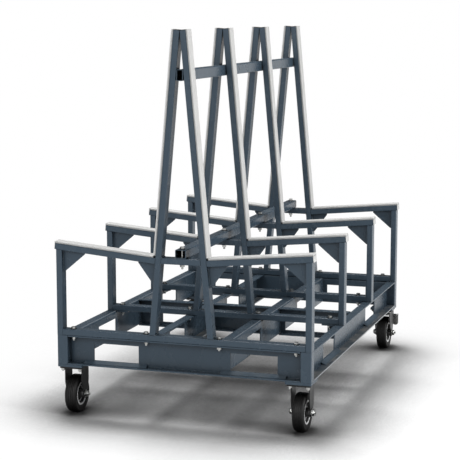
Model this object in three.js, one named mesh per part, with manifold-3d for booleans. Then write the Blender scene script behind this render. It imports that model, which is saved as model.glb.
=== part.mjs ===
// Sheet goods cart: four welded cross frames with A-shaped uprights stand on a channel-section base
// with fork pockets on every side, two fixed casters in front and two braked swivel casters behind.
// Millimetres. +X is the cart's right, +Y its rear, +Z up, and the floor is at Z = 0.
import * as THREE from 'three';
import { mergeVertices } from 'three/addons/utils/BufferGeometryUtils.js';
import Module from 'manifold-3d';

const wasm = await Module();
wasm.setup();

// Gap left between neighbouring pieces
const fit = 0.3;
// How far joined members run into each other
const weldDepth = 1;

// Cross frames
const cartWidth = 1200;
const frameCount = 4;
const frameSpacing = 595;
const tubeDeep = 50;
const tubeThin = 28;
const beamOverhang = 6;
const beamEndHeight = 798;
const crossTubeHeight = 756;
const outerGussetAlongBeam = 105;
const outerGussetDown = 98;
const innerGussetAlongBeam = 86;
const innerGussetDown = 96;
const gussetThick = 6;

// A-shaped uprights
const apexHeight = 1757;
const footSpread = 123;
const apexWeld = 14;

// Rub strips
const stripThick = 10;

// Tubes along the cart
const ridgeDrop = 170;
const ridgeHeight = 50;
const spineWidth = 50;
const spineHeight = 40;
const tubeWall = 3;

// Base
const sheet = 6;
const channelHeight = 136;
const channelFlange = 48;
const legSide = 50;
const footPlateSide = 120;
const footPlateThick = 12;
const innerRailOffset = 195;
const tabLength = 60;

// Fork pockets
const pocketWidth = 217;
const pocketHeight = 80;
const pocketSill = 19;
const forkSpacing = 654;
const sideForkSpacing = 872;
const rampSetback = 20;
const rampOverhang = 43;
const rampThick = 4;

// Casters
const casterHeight = 226;
const casterPlateSide = 110;
const casterPlateThick = 8;
const wheelDiameter = 176;
const wheelFacets = 32;
const tyreWidth = 54;
const treadWidth = 30;
const shoulderDrop = 4;
const shoulderInset = 4;
const wallDepth = 15;
const beadInset = 1;
const rimDiameter = 108;
const rimWidth = 48;
const rimThick = 8;
const rimWeb = 10;
const hubDiameter = 40;
const axleDiameter = 12;
const axleHexDiameter = 30;
const axleHeadLength = 18;
const axleNutLength = 14;
const axleThreadLength = 7;
const forkGap = 77;
const forkThick = 5;
const forkTopWidth = 74;
const forkStraight = 70;
const forkEndRadius = 20;
const bracketSetback = 18;

// Swivel and brake of the rear casters
const swivelTrail = 30;
const raceDiameter = 76;
const raceHeight = 7;
const crownThick = 8;
const crownFront = 42;
const kingPinDiameter = 18;
const kingPinHeadDiameter = 30;
const kingPinHeadHeight = 6;
const earReach = 72;
const earDrop = 30;
const pedalPivotBack = 60;
const pedalPivotDrop = 32;
const pedalPinDiameter = 8;
const pedalHubDiameter = 14;
const pedalLength = 46;
const pedalArmWidth = 44;
const pedalThick = 5;
const pedalDrop = 22;
const pedalBarDepth = 12;
const paddleReach = 64;
const paddleWidth = 32;
const paddleDrop = 62;
const shoeBack = 4;
const shoeLength = 12;
const shoeWidth = 30;
const shoeDrop = 21;

// How many flat sides stand for each round part
const facets = { race: 32, pin: 20, smallPin: 16, hex: 6 };

// Levels and lines worked out from the sizes above
const cartLength = (frameCount - 1) * frameSpacing + tubeDeep;
const halfWidth = cartWidth / 2;
const halfLength = cartLength / 2;
const baseBottom = casterHeight + footPlateThick;
const baseTop = baseBottom + channelHeight;
const ridgeTop = apexHeight - ridgeDrop;
const beamReach = halfWidth + beamOverhang;
const lowerTubeBottom = baseTop + fit;
const lowerTubeTop = lowerTubeBottom + tubeThin;
const lean = Math.atan2(footSpread, apexHeight - lowerTubeTop);
const leanCos = Math.cos(lean);
const leanSin = Math.sin(lean);
const leanTan = Math.tan(lean);
const wheelRadius = wheelDiameter / 2;
const axleHeight = wheelRadius * Math.cos(Math.PI / wheelFacets);
const axleDrop = casterHeight - axleHeight;
const casterX = halfWidth - footPlateSide / 2;
const casterY = halfLength - footPlateSide / 2;
const frontReach = Math.max(halfLength, casterY - bracketSetback + axleHeight);
const rearReach = casterY + Math.max(pedalPivotBack + pedalLength, swivelTrail + axleHeight);

// Lines of the leaning upright on the right: s runs outwards along the beam, t up along the upright
const uprightInner = apexHeight * leanSin;
const uprightOuter = uprightInner + tubeThin;
const uprightTop = apexHeight * leanCos;
const beamStart = uprightOuter + fit;
const beamEnd = beamReach * leanCos + beamEndHeight * leanSin;
const beamTop = beamEndHeight * leanCos - beamReach * leanSin;
const beamUnder = beamTop - tubeThin;
const stripUnder = beamTop + fit;
const stripTop = stripUnder + stripThick;
const stripStart = beamStart + stripThick + fit;

const fromLean = (s, t) => [s * leanCos - t * leanSin, s * leanSin + t * leanCos];
const insideFace = (z) => (apexHeight - z) * leanTan;
const outsideFace = (z) => insideFace(z) + tubeThin / leanCos;
const beamUnderAt = (x) => (beamUnder + x * leanSin) / leanCos;
const mirrored = (points) => points.map(([x, z]) => [-x, z]).reverse();

// Finishes
const finishes = {
  slatePaint: { color: 0x46545e, roughness: 0.5, metalness: 0.25 },
  palePlastic: { color: 0xe6e6e3, roughness: 0.6, metalness: 0 },
  casterBlack: { color: 0x16181a, roughness: 0.45, metalness: 0.3 },
  rubber: { color: 0x1b1b1c, roughness: 0.8, metalness: 0 },
  castAlloy: { color: 0xb9bcbe, roughness: 0.35, metalness: 0.9 },
  zinc: { color: 0xc9ccce, roughness: 0.3, metalness: 0.95 },
};

const cart = new THREE.Group();
cart.position.y = (frontReach - rearReach) / 2;

function addPiece(name, geometry, finish, position = [0, 0, 0], turn = 0) {
  const mesh = new THREE.Mesh(geometry, new THREE.MeshStandardMaterial(finishes[finish]));
  mesh.name = name;
  mesh.position.set(...position);
  mesh.rotation.z = turn;
  cart.add(mesh);
}

// Closed solids, made from corners that lie within this distance of each other
const mergeGap = 1e-4;

function toSolid(geometry) {
  const bare = geometry.clone();
  bare.deleteAttribute('normal');
  bare.deleteAttribute('uv');
  const merged = mergeVertices(bare, mergeGap);
  const vertProperties = new Float32Array(merged.attributes.position.array);
  const triVerts = new Uint32Array(merged.index.array);
  return new wasm.Manifold(new wasm.Mesh({ numProp: 3, vertProperties, triVerts }));
}

function toGeometry(solid) {
  const mesh = solid.getMesh();
  const geometry = new THREE.BufferGeometry();
  geometry.setAttribute('position', new THREE.BufferAttribute(new Float32Array(mesh.vertProperties), 3));
  geometry.setIndex(new THREE.BufferAttribute(new Uint32Array(mesh.triVerts), 1));
  return geometry;
}

function shape(joined, removed = []) {
  let solid = toSolid(joined[0]);
  for (const part of joined.slice(1)) solid = solid.add(toSolid(part));
  for (const part of removed) solid = solid.subtract(toSolid(part));
  return toGeometry(solid);
}

// Box between two corners
function block([x0, y0, z0], [x1, y1, z1]) {
  const geometry = new THREE.BoxGeometry(x1 - x0, y1 - y0, z1 - z0);
  return geometry.translate((x0 + x1) / 2, (y0 + y1) / 2, (z0 + z1) / 2);
}

function outline(points, holes = []) {
  const flat = new THREE.Shape(points.map(([a, b]) => new THREE.Vector2(a, b)));
  flat.holes = holes.map((hole) => new THREE.Path(hole.map(([a, b]) => new THREE.Vector2(a, b))));
  return flat;
}

const alongX = new THREE.Matrix4().makeBasis(
  new THREE.Vector3(0, 1, 0), new THREE.Vector3(0, 0, 1), new THREE.Vector3(1, 0, 0));
const alongY = new THREE.Matrix4().makeBasis(
  new THREE.Vector3(1, 0, 0), new THREE.Vector3(0, 0, 1), new THREE.Vector3(0, -1, 0));

// A (y, z) outline given its thickness along X, from x0
function slabX(flat, x0, thick, curveSegments = 8) {
  const geometry = new THREE.ExtrudeGeometry(flat, { depth: thick, bevelEnabled: false, curveSegments });
  return geometry.applyMatrix4(alongX).translate(x0, 0, 0);
}

// An (x, z) outline given its thickness along Y, centred on y
function slabY(flat, y, thick) {
  const geometry = new THREE.ExtrudeGeometry(flat, { depth: thick, bevelEnabled: false });
  return geometry.applyMatrix4(alongY).translate(0, y + thick / 2, 0);
}

// Round bar along X
function barX(diameter, x0, x1, sides) {
  const geometry = new THREE.CylinderGeometry(diameter / 2, diameter / 2, x1 - x0, sides);
  return geometry.rotateZ(Math.PI / 2).translate((x0 + x1) / 2, 0, 0);
}

// Round bar along Z
function barZ(diameter, z0, z1, sides) {
  const geometry = new THREE.CylinderGeometry(diameter / 2, diameter / 2, z1 - z0, sides);
  return geometry.rotateX(Math.PI / 2).translate(0, 0, (z0 + z1) / 2);
}

// Ring turned about X from a closed (radius, x) profile, with a flat facet at the bottom
function ringX(profile) {
  const points = [...profile, profile[0]].map(([radius, x]) => new THREE.Vector2(radius, x));
  const geometry = new THREE.LatheGeometry(points, wheelFacets, Math.PI / wheelFacets);
  return geometry.rotateZ(-Math.PI / 2);
}

// Square-cornered open tube along Y with its lower edge at z0
function tubeY(width, height, z0) {
  const half = width / 2;
  const z1 = z0 + height;
  const wall = tubeWall;
  const outside = [[-half, z0], [half, z0], [half, z1], [-half, z1]];
  const bore = [
    [-half + wall, z0 + wall], [-half + wall, z1 - wall], [half - wall, z1 - wall], [half - wall, z0 + wall]];
  return slabY(outline(outside, [bore]), 0, cartLength);
}

// Support frame: lower tube, two posts, two beams sloping down to the middle, and four gussets
function supportFrame() {
  const postInside = halfWidth - tubeThin;
  const side = [
    [halfWidth, lowerTubeBottom],
    [halfWidth, beamUnderAt(halfWidth)],
    fromLean(beamEnd, beamUnder),
    fromLean(beamEnd, beamTop),
    fromLean(beamStart, beamTop),
    fromLean(beamStart, beamUnder),
    [postInside, beamUnderAt(postInside)],
    [postInside, lowerTubeTop],
  ];
  const tubes = slabY(outline([...side, ...mirrored(side)]), 0, tubeDeep);
  const corner = [postInside, beamUnderAt(postInside)];
  const outerGusset = [
    [corner[0] + weldDepth, corner[1] + weldDepth],
    [corner[0] - outerGussetAlongBeam * leanCos, corner[1] - outerGussetAlongBeam * leanSin + weldDepth],
    [corner[0] - outerGussetAlongBeam * leanCos, corner[1] - outerGussetAlongBeam * leanSin - weldDepth],
    [corner[0] - weldDepth, corner[1] - outerGussetDown],
    [corner[0] + weldDepth, corner[1] - outerGussetDown],
  ];
  const innerGusset = [
    fromLean(beamStart, beamUnder + weldDepth),
    fromLean(beamStart, beamUnder - innerGussetDown),
    fromLean(beamStart + innerGussetAlongBeam, beamUnder - weldDepth),
    fromLean(beamStart + innerGussetAlongBeam, beamUnder + weldDepth),
  ];
  const gussets = [outerGusset, innerGusset].flatMap((points) => [points, mirrored(points)]);
  return shape([tubes, ...gussets.map((points) => slabY(outline(points), 0, gussetThick))]);
}

// A-frame: two leaning uprights welded at the apex, with a short cross tube between them
function aFrame() {
  const foot = lowerTubeTop + fit;
  const crossTop = crossTubeHeight;
  const crossUnder = crossTubeHeight - tubeThin;
  const weldHeight = apexHeight - apexWeld;
  const side = [
    [insideFace(crossUnder), crossUnder],
    [insideFace(foot), foot],
    [outsideFace(foot), foot],
    fromLean(uprightOuter, uprightTop),
  ];
  const window = [
    [insideFace(crossTop), crossTop],
    [insideFace(weldHeight), weldHeight],
  ];
  const whole = [...side, [0, apexHeight], ...mirrored(side)];
  return slabY(outline(whole, [[...window, ...mirrored(window)]]), 0, tubeDeep);
}

// Rub strip on top of a beam, from the upright's own strip to the beam's outer end
function beamStrip(flip) {
  const points = [
    fromLean(stripStart, stripUnder),
    fromLean(beamEnd, stripUnder),
    fromLean(beamEnd, stripTop),
    fromLean(stripStart, stripTop),
  ];
  return slabY(outline(flip ? mirrored(points) : points), 0, tubeDeep);
}

// Rub strip on the outer face of an upright, from the beam strip to the apex
function uprightStrip(flip) {
  const points = [
    fromLean(beamStart, stripTop + fit),
    fromLean(beamStart + stripThick, stripTop + fit),
    fromLean(beamStart + stripThick, uprightTop),
    fromLean(beamStart, uprightTop),
  ];
  return slabY(outline(flip ? mirrored(points) : points), 0, tubeDeep);
}

for (let i = 0; i < frameCount; i += 1) {
  const place = [0, (i - (frameCount - 1) / 2) * frameSpacing, 0];
  const number = i + 1;
  addPiece(`support_frame_${number}`, supportFrame(), 'slatePaint', place);
  addPiece(`a_frame_${number}`, aFrame(), 'slatePaint', place);
  for (const [side, flip] of [['left', true], ['right', false]]) {
    addPiece(`${side}_beam_strip_${number}`, beamStrip(flip), 'palePlastic', place);
    addPiece(`${side}_upright_strip_${number}`, uprightStrip(flip), 'palePlastic', place);
  }
}

// Ridge tube held between the uprights, and spine tube lying on the cross tubes
const ridgeWidth = 2 * (insideFace(ridgeTop) - fit);
addPiece('ridge_tube', tubeY(ridgeWidth, ridgeHeight, ridgeTop - ridgeHeight), 'slatePaint');
addPiece('spine_tube', tubeY(spineWidth, spineHeight, crossTubeHeight + fit), 'slatePaint');

// Base channel along X: free flange edges at y = 0, web at y = channelFlange, underside at z = 0
function channel(length, pockets = [], extras = []) {
  const end = length / 2;
  const webFront = channelFlange - sheet;
  const pieces = [
    block([-end, webFront, 0], [end, channelFlange, channelHeight]),
    block([-end, 0, 0], [end, channelFlange, sheet]),
    block([-end, 0, channelHeight - sheet], [end, channelFlange, channelHeight]),
    ...extras,
  ];
  const pocketTop = pocketSill + pocketHeight;
  const holes = pockets.map((at) => block(
    [at - pocketWidth / 2, webFront - sheet, pocketSill],
    [at + pocketWidth / 2, channelFlange + sheet, pocketTop]));
  return shape(pieces, holes);
}

// Sloping plate that leads a fork from the bottom flange up to the sill of a pocket
function ramp(at) {
  const webFront = channelFlange - sheet;
  const section = [
    [rampSetback, sheet - weldDepth],
    [rampSetback + rampThick, sheet - weldDepth],
    [webFront + weldDepth, pocketSill - rampThick],
    [webFront + weldDepth, pocketSill],
    [rampSetback, sheet + weldDepth],
  ];
  const length = pocketWidth + 2 * rampOverhang;
  return slabX(outline(section), at - length / 2, length);
}

// Tab inside a side rail that carries the end of a middle frame's lower tube
function tab(at) {
  return block(
    [at - tubeDeep / 2, channelFlange - weldDepth, channelHeight - sheet],
    [at + tubeDeep / 2, channelFlange + tabLength, channelHeight]);
}

const quarter = Math.PI / 2;
const frontPockets = [-forkSpacing / 2, forkSpacing / 2];
const sidePockets = [-sideForkSpacing / 2, sideForkSpacing / 2];
const endLength = cartWidth - 2 * legSide - 2 * fit;
const railLength = cartLength - 2 * legSide - 2 * fit;
const innerRailLength = cartLength - 2 * channelFlange - 2 * fit;
const tabPlaces = [];
for (let i = 1; i < frameCount - 1; i += 1) tabPlaces.push((i - (frameCount - 1) / 2) * frameSpacing);

const endChannel = channel(endLength, frontPockets, frontPockets.map(ramp));
addPiece('front_channel', endChannel, 'slatePaint', [0, -halfLength, baseBottom]);
addPiece('rear_channel', endChannel, 'slatePaint', [0, halfLength, baseBottom], 2 * quarter);

const sideRail = channel(railLength, sidePockets, [...sidePockets.map(ramp), ...tabPlaces.map(tab)]);
addPiece('left_rail', sideRail, 'slatePaint', [-halfWidth, 0, baseBottom], -quarter);
addPiece('right_rail', sideRail, 'slatePaint', [halfWidth, 0, baseBottom], quarter);

const innerRail = channel(innerRailLength, sidePockets);
const innerRailEdge = innerRailOffset - channelFlange;
addPiece('left_inner_rail', innerRail, 'slatePaint', [-innerRailEdge, 0, baseBottom], quarter);
addPiece('right_inner_rail', innerRail, 'slatePaint', [innerRailEdge, 0, baseBottom], -quarter);

// Middle channel in three lengths, fitted between the rails
const middleOuter = halfWidth - channelFlange - fit;
const middleInner = innerRailOffset + fit;
const middleCentre = (middleOuter + middleInner) / 2;
const middlePocket = forkSpacing / 2 - middleCentre;
for (const [side, sign] of [['left', -1], ['right', 1]]) {
  const length = channel(middleOuter - middleInner, [sign * middlePocket]);
  const place = [sign * middleCentre, -channelFlange / 2, baseBottom];
  addPiece(`${side}_middle_channel`, length, 'slatePaint', place);
}

function copedChannel() {
  const flangeEnd = innerRailEdge - fit;
  const webEnd = innerRailOffset - sheet - fit;
  const copedWeb = block(
    [-webEnd, channelFlange - sheet, sheet + fit],
    [webEnd, channelFlange, channelHeight - sheet - fit]);
  return channel(2 * flangeEnd, [], [copedWeb]);
}
addPiece('centre_middle_channel', copedChannel(), 'slatePaint', [0, -channelFlange / 2, baseBottom]);

// Corner leg with the foot plate that its caster bolts to
function cornerLeg(signX, signY) {
  const box = (near, z0, z1) => {
    const xs = [signX * (halfWidth - near), signX * halfWidth].sort((a, b) => a - b);
    const ys = [signY * (halfLength - near), signY * halfLength].sort((a, b) => a - b);
    return block([xs[0], ys[0], z0], [xs[1], ys[1], z1]);
  };
  return shape([
    box(legSide, casterHeight, baseTop),
    box(footPlateSide, casterHeight, baseBottom - fit),
  ]);
}

// Casters: z = 0 is the top of the mounting plate, and the wheel's axle lies along X
const legInside = forkGap / 2;
const legOutside = legInside + forkThick;
const plateTop = -fit;
const plateUnder = plateTop - casterPlateThick;
const crownTop = plateUnder - raceHeight - fit;
const crownUnder = crownTop - crownThick;

function roundHole(y, z, diameter) {
  return new THREE.Path().absarc(y, z, diameter / 2, 0, 2 * Math.PI, false);
}

function plateBlock() {
  const half = casterPlateSide / 2;
  return block([-half, -half, plateUnder], [half, half, plateTop]);
}

function forkLegs(flat) {
  return [slabX(flat, legInside, forkThick), slabX(flat, -legOutside, forkThick)];
}

// Fixed bracket: mounting plate with two legs, set back from its middle, that taper to the axle low down
function fixedBracket() {
  const half = forkTopWidth / 2;
  const taperTop = plateUnder - forkStraight;
  const flat = outline([
    [bracketSetback - half, plateUnder + weldDepth],
    [bracketSetback - half, taperTop],
    [bracketSetback - forkEndRadius, -axleDrop],
  ]);
  flat.absarc(bracketSetback, -axleDrop, forkEndRadius, Math.PI, 2 * Math.PI, false);
  flat.lineTo(bracketSetback + half, taperTop);
  flat.lineTo(bracketSetback + half, plateUnder + weldDepth);
  flat.holes = [roundHole(bracketSetback, -axleDrop, axleDiameter + 2 * fit)];
  return shape([plateBlock(), ...forkLegs(flat)]);
}

// Swivel plate: mounting plate, ball race and the king pin that holds the fork
function swivelPlate() {
  const headTop = crownUnder - fit;
  return shape([
    plateBlock(),
    barZ(raceDiameter, crownTop + fit, plateUnder + weldDepth, facets.race),
    barZ(kingPinDiameter, headTop - weldDepth, crownTop + fit + weldDepth, facets.pin),
    barZ(kingPinHeadDiameter, headTop - kingPinHeadHeight, headTop, facets.hex),
  ]);
}

// Swivel fork: crown plate with two legs that trail back to the axle and ears for the brake pedal
function swivelFork() {
  const flat = outline([[-crownFront, crownTop], [swivelTrail - forkEndRadius, -axleDrop]]);
  flat.absarc(swivelTrail, -axleDrop, forkEndRadius, Math.PI, 2 * Math.PI, false);
  flat.lineTo(earReach, crownTop - earDrop);
  flat.lineTo(earReach, crownTop);
  flat.holes = [
    roundHole(swivelTrail, -axleDrop, axleDiameter + 2 * fit),
    roundHole(pedalPivotBack, -pedalPivotDrop, pedalPinDiameter + 2 * fit),
  ];
  const crownBack = pedalPivotBack - pedalHubDiameter;
  const crown = block(
    [-legInside - weldDepth, -crownFront, crownUnder], [legInside + weldDepth, crownBack, crownTop]);
  const pinHole = barZ(kingPinDiameter + 2 * fit, crownUnder - weldDepth, crownTop + weldDepth, facets.pin);
  return shape([crown, ...forkLegs(flat)], [pinHole]);
}

// Brake pedal: hub with a pin through the fork's ears, arm down to a cross bar with a paddle on each
// side of the fork, and a shoe by the tyre
function brakePedal() {
  const hubEnd = legInside - fit;
  const hubTop = pedalHubDiameter / 2;
  const barTop = hubTop - pedalDrop;
  const barFront = pedalLength - pedalBarDepth;
  const shoeEnd = shoeBack + shoeLength;
  const shoeTop = hubTop - pedalDrop * shoeEnd / barFront;
  const arm = outline([
    [0, hubTop - pedalThick],
    [barFront, barTop - pedalThick],
    [barFront + weldDepth, barTop - pedalThick],
    [barFront + weldDepth, barTop],
    [barFront, barTop],
    [0, hubTop],
  ]);
  const paddleRadius = paddleWidth / 2;
  const paddleEnd = barTop - paddleDrop + paddleRadius;
  const paddle = (x) => {
    const flat = outline([[x - paddleRadius, barTop - weldDepth], [x - paddleRadius, paddleEnd]]);
    flat.absarc(x, paddleEnd, paddleRadius, Math.PI, 2 * Math.PI, false);
    flat.lineTo(x + paddleRadius, barTop - weldDepth);
    return slabY(flat, pedalLength - pedalBarDepth / 2, pedalThick);
  };
  return shape([
    barX(pedalHubDiameter, -hubEnd, hubEnd, facets.smallPin),
    barX(pedalPinDiameter, -legOutside, legOutside, facets.smallPin),
    slabX(arm, -pedalArmWidth / 2, pedalArmWidth),
    block([-paddleReach, barFront, barTop - pedalThick], [paddleReach, pedalLength, barTop]),
    paddle(paddleReach - paddleRadius),
    paddle(paddleRadius - paddleReach),
    block([-shoeWidth / 2, shoeBack, -shoeDrop], [shoeWidth / 2, shoeEnd, shoeTop]),
  ]);
}

// Axle bolt with its head on the left and its nut on the right
function axleBolt() {
  const seat = legOutside + fit;
  return shape([
    barX(axleDiameter, -seat - weldDepth, seat + axleNutLength + axleThreadLength, facets.pin),
    barX(axleHexDiameter, -seat - axleHeadLength, -seat, facets.hex),
    barX(axleHexDiameter, seat, seat + axleNutLength, facets.hex),
  ]);
}

// Cast wheel centre: hub, web and rim
function wheelRim() {
  const bore = axleDiameter / 2 + fit;
  const hub = hubDiameter / 2;
  const hubEnd = legInside - fit;
  const rim = rimDiameter / 2;
  const rimInside = rim - rimThick;
  return ringX([
    [bore, -hubEnd], [hub, -hubEnd], [hub, -rimWeb / 2], [rimInside, -rimWeb / 2],
    [rimInside, -rimWidth / 2], [rim, -rimWidth / 2], [rim, rimWidth / 2], [rimInside, rimWidth / 2],
    [rimInside, rimWeb / 2], [hub, rimWeb / 2], [hub, hubEnd], [bore, hubEnd],
  ]);
}

// The same (radius, x) points on the other side of the wheel, in reverse order
const mirroredRing = (points) => points.map(([radius, x]) => [radius, -x]).reverse();

// Rubber tyre with rounded shoulders
function tyre() {
  const bead = rimDiameter / 2 + fit;
  const wall = tyreWidth / 2;
  const half = [
    [wheelRadius, treadWidth / 2],
    [wheelRadius - shoulderDrop, wall - shoulderInset],
    [wheelRadius - wallDepth, wall],
    [bead, wall - beadInset],
  ];
  return ringX([...mirroredRing(half), ...half]);
}

const ends = [['front', -1], ['rear', 1]];
const sides = [['left', -1], ['right', 1]];
for (const [end, signY] of ends) {
  for (const [side, signX] of sides) {
    const corner = `${end}_${side}`;
    const trail = end === 'rear' ? swivelTrail : bracketSetback;
    const plate = [signX * casterX, signY * casterY, casterHeight];
    const wheel = [signX * casterX, signY * casterY + trail, axleHeight];
    addPiece(`${corner}_leg`, cornerLeg(signX, signY), 'slatePaint');
    addPiece(`${corner}_rim`, wheelRim(), 'castAlloy', wheel);
    addPiece(`${corner}_tyre`, tyre(), 'rubber', wheel);
    addPiece(`${corner}_axle`, axleBolt(), 'zinc', wheel);
    if (end === 'front') {
      addPiece(`${corner}_bracket`, fixedBracket(), 'casterBlack', plate);
    } else {
      const pivot = [plate[0], plate[1] + pedalPivotBack, plate[2] - pedalPivotDrop];
      addPiece(`${corner}_swivel_plate`, swivelPlate(), 'casterBlack', plate);
      addPiece(`${corner}_fork`, swivelFork(), 'casterBlack', plate);
      addPiece(`${corner}_brake_pedal`, brakePedal(), 'zinc', pivot);
    }
  }
}

export default cart;
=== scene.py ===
import math

import bmesh
import bpy
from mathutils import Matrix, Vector


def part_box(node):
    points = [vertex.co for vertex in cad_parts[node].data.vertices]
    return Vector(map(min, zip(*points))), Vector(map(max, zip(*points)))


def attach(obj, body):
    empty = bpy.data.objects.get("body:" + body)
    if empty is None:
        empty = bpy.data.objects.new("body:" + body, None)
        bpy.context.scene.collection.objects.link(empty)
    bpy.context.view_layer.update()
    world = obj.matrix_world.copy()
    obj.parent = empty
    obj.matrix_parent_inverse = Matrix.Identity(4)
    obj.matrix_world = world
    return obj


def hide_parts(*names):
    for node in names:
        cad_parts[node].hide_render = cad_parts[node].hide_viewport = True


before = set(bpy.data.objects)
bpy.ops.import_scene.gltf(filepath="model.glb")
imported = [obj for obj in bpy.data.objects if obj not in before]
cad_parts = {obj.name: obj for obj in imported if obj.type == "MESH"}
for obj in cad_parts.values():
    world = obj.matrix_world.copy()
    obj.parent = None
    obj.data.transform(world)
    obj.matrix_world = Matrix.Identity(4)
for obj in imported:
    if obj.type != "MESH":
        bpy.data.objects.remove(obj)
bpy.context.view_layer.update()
scene = bpy.context.scene
scene.view_settings.view_transform = "Standard"
print("frame loaded with", len(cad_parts), "nodes")

# camera fitted to the photo's straight edges, 460 by 460 image
view = {
    "place": (2.1723, -6.9441, 1.8267), "pitchDown": 8.396, "yaw": 17.931,
    "focalPixels": 1467.18, "imagePixels": 460, "sensor": 36.0, "farClip": 100.0,
}


def makeCamera():
    data = bpy.data.cameras.new("photoCamera")
    data.sensor_width = view["sensor"]
    data.lens = view["sensor"] * view["focalPixels"] / view["imagePixels"]
    data.clip_end = view["farClip"]
    camera = bpy.data.objects.new("photoCamera", data)
    camera.location = view["place"]
    camera.rotation_euler = (math.radians(90.0 - view["pitchDown"]), 0.0, math.radians(view["yaw"]))
    scene.collection.objects.link(camera)
    scene.camera = camera


makeCamera()


# node helpers: an input gets a value, or the socket that feeds it
def feed(tree, socket, value):
    if isinstance(value, bpy.types.NodeSocket):
        tree.links.new(value, socket)
    else:
        socket.default_value = value


def addNode(tree, kind, inputs=None, **settings):
    node = tree.nodes.new(kind)
    for key, value in settings.items():
        setattr(node, key, value)
    for key, value in (inputs or {}).items():
        feed(tree, node.inputs[key], value)
    return node


def addMath(tree, operation, first, second, clamp=False):
    node = addNode(tree, "ShaderNodeMath", {0: first, 1: second}, operation=operation, use_clamp=clamp)
    return node.outputs[0]


def addRange(tree, value, low, high, start=0.0, end=1.0, kind="LINEAR"):
    inputs = {"Value": value, "From Min": low, "From Max": high, "To Min": start, "To Max": end}
    return addNode(tree, "ShaderNodeMapRange", inputs, interpolation_type=kind).outputs["Result"]


def addNoise(tree, vector, scale, detail, roughness):
    inputs = {"Vector": vector, "Scale": scale, "Detail": detail, "Roughness": roughness}
    return addNode(tree, "ShaderNodeTexNoise", inputs).outputs["Fac"]


def mixColour(tree, amount, first, second):
    first, second = [(*value, 1.0) if isinstance(value, tuple) else value for value in (first, second)]
    return addNode(tree, "ShaderNodeMix", {0: amount, 6: first, 7: second}, data_type="RGBA").outputs[2]


# a group with inputs as (label, kind, value) and outputs as (label, kind)
def newGroup(name, treeKind, inputs, outputs):
    tree = bpy.data.node_groups.new(name, treeKind)
    for label, kind, value in inputs:
        socket = tree.interface.new_socket(label, in_out="INPUT", socket_type="NodeSocket" + kind)
        if value is not None:
            socket.default_value = value
    for label, kind in outputs:
        tree.interface.new_socket(label, in_out="OUTPUT", socket_type="NodeSocket" + kind)
    return tree, tree.nodes.new("NodeGroupInput").outputs, tree.nodes.new("NodeGroupOutput").inputs


# effects shared by the finishes: a noise is (detail, roughness), the other pairs are ranges
effects = {
    "fineNoise": (2.0, 0.5), "broadNoise": (5.0, 0.62), "patches": (0.3, 0.7), "bumpStrength": 0.6,
    "bevelSamples": 4, "edgeGain": 7.0, "chipNoise": (6.0, 0.7), "chips": (0.46, 0.62),
    "upward": (0.55, 1.0), "cloudNoise": (7.0, 0.68), "cloud": (0.35, 0.75), "paintedShadeSamples": 8,
}


def makeGrainGroup():
    inputs = [("Vector", "Vector", None), ("Scale", "Float", 900.0), ("Patch Scale", "Float", 9.0)]
    outputs = [("Patches", "Float"), ("Height", "Float")]
    tree, inside, outside = newGroup("surfaceGrain", "ShaderNodeTree", inputs, outputs)
    fine = addNoise(tree, inside["Vector"], inside["Scale"], *effects["fineNoise"])
    broad = addNoise(tree, inside["Vector"], inside["Patch Scale"], *effects["broadNoise"])
    feed(tree, outside["Patches"], broad)
    feed(tree, outside["Height"], fine)
    return tree


def makeWearGroup():
    inputs = [("Vector", "Vector", None), ("Radius", "Float", 0.002), ("Break Up", "Float", 60.0)]
    tree, inside, outside = newGroup("edgeWear", "ShaderNodeTree", inputs, [("Mask", "Float")])
    rounded = addNode(tree, "ShaderNodeBevel", {"Radius": inside["Radius"]}, samples=effects["bevelSamples"])
    normal = addNode(tree, "ShaderNodeNewGeometry").outputs["Normal"]
    normals = {0: rounded.outputs["Normal"], 1: normal}
    facing = addNode(tree, "ShaderNodeVectorMath", normals, operation="DOT_PRODUCT").outputs["Value"]
    bend = addMath(tree, "SUBTRACT", 1.0, facing, clamp=True)
    edge = addMath(tree, "MULTIPLY", bend, effects["edgeGain"], clamp=True)
    chips = addNoise(tree, inside["Vector"], inside["Break Up"], *effects["chipNoise"])
    feed(tree, outside["Mask"], addMath(tree, "MULTIPLY", edge, addRange(tree, chips, *effects["chips"])))
    return tree


def makeDustGroup():
    inputs = [("Vector", "Vector", None), ("Patch Scale", "Float", 14.0)]
    tree, inside, outside = newGroup("settledDust", "ShaderNodeTree", inputs, [("Mask", "Float")])
    normal = addNode(tree, "ShaderNodeNewGeometry").outputs["Normal"]
    height = addNode(tree, "ShaderNodeSeparateXYZ", {0: normal}).outputs["Z"]
    upward = addRange(tree, height, *effects["upward"])
    cloud = addNoise(tree, inside["Vector"], inside["Patch Scale"], *effects["cloudNoise"])
    feed(tree, outside["Mask"], addMath(tree, "MULTIPLY", upward, addRange(tree, cloud, *effects["cloud"])))
    return tree


# painted shade: darkens the colour of what stands close to other surfaces, as under the crown of a fork
def makePaintedShadeGroup():
    inputs = [("Reach", "Float", 0.1), ("Depth", "Float", 1.0)]
    tree, inside, outside = newGroup("paintedHollowShade", "ShaderNodeTree", inputs, [("Mask", "Float")])
    reach = {"Distance": inside["Reach"]}
    near = addNode(tree, "ShaderNodeAmbientOcclusion", reach, samples=effects["paintedShadeSamples"])
    feed(tree, outside["Mask"], addMath(tree, "POWER", near.outputs["AO"], inside["Depth"]))
    return tree


grainGroup = makeGrainGroup()
wearGroup = makeWearGroup()
dustGroup = makeDustGroup()
paintedShadeGroup = makePaintedShadeGroup()

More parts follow.
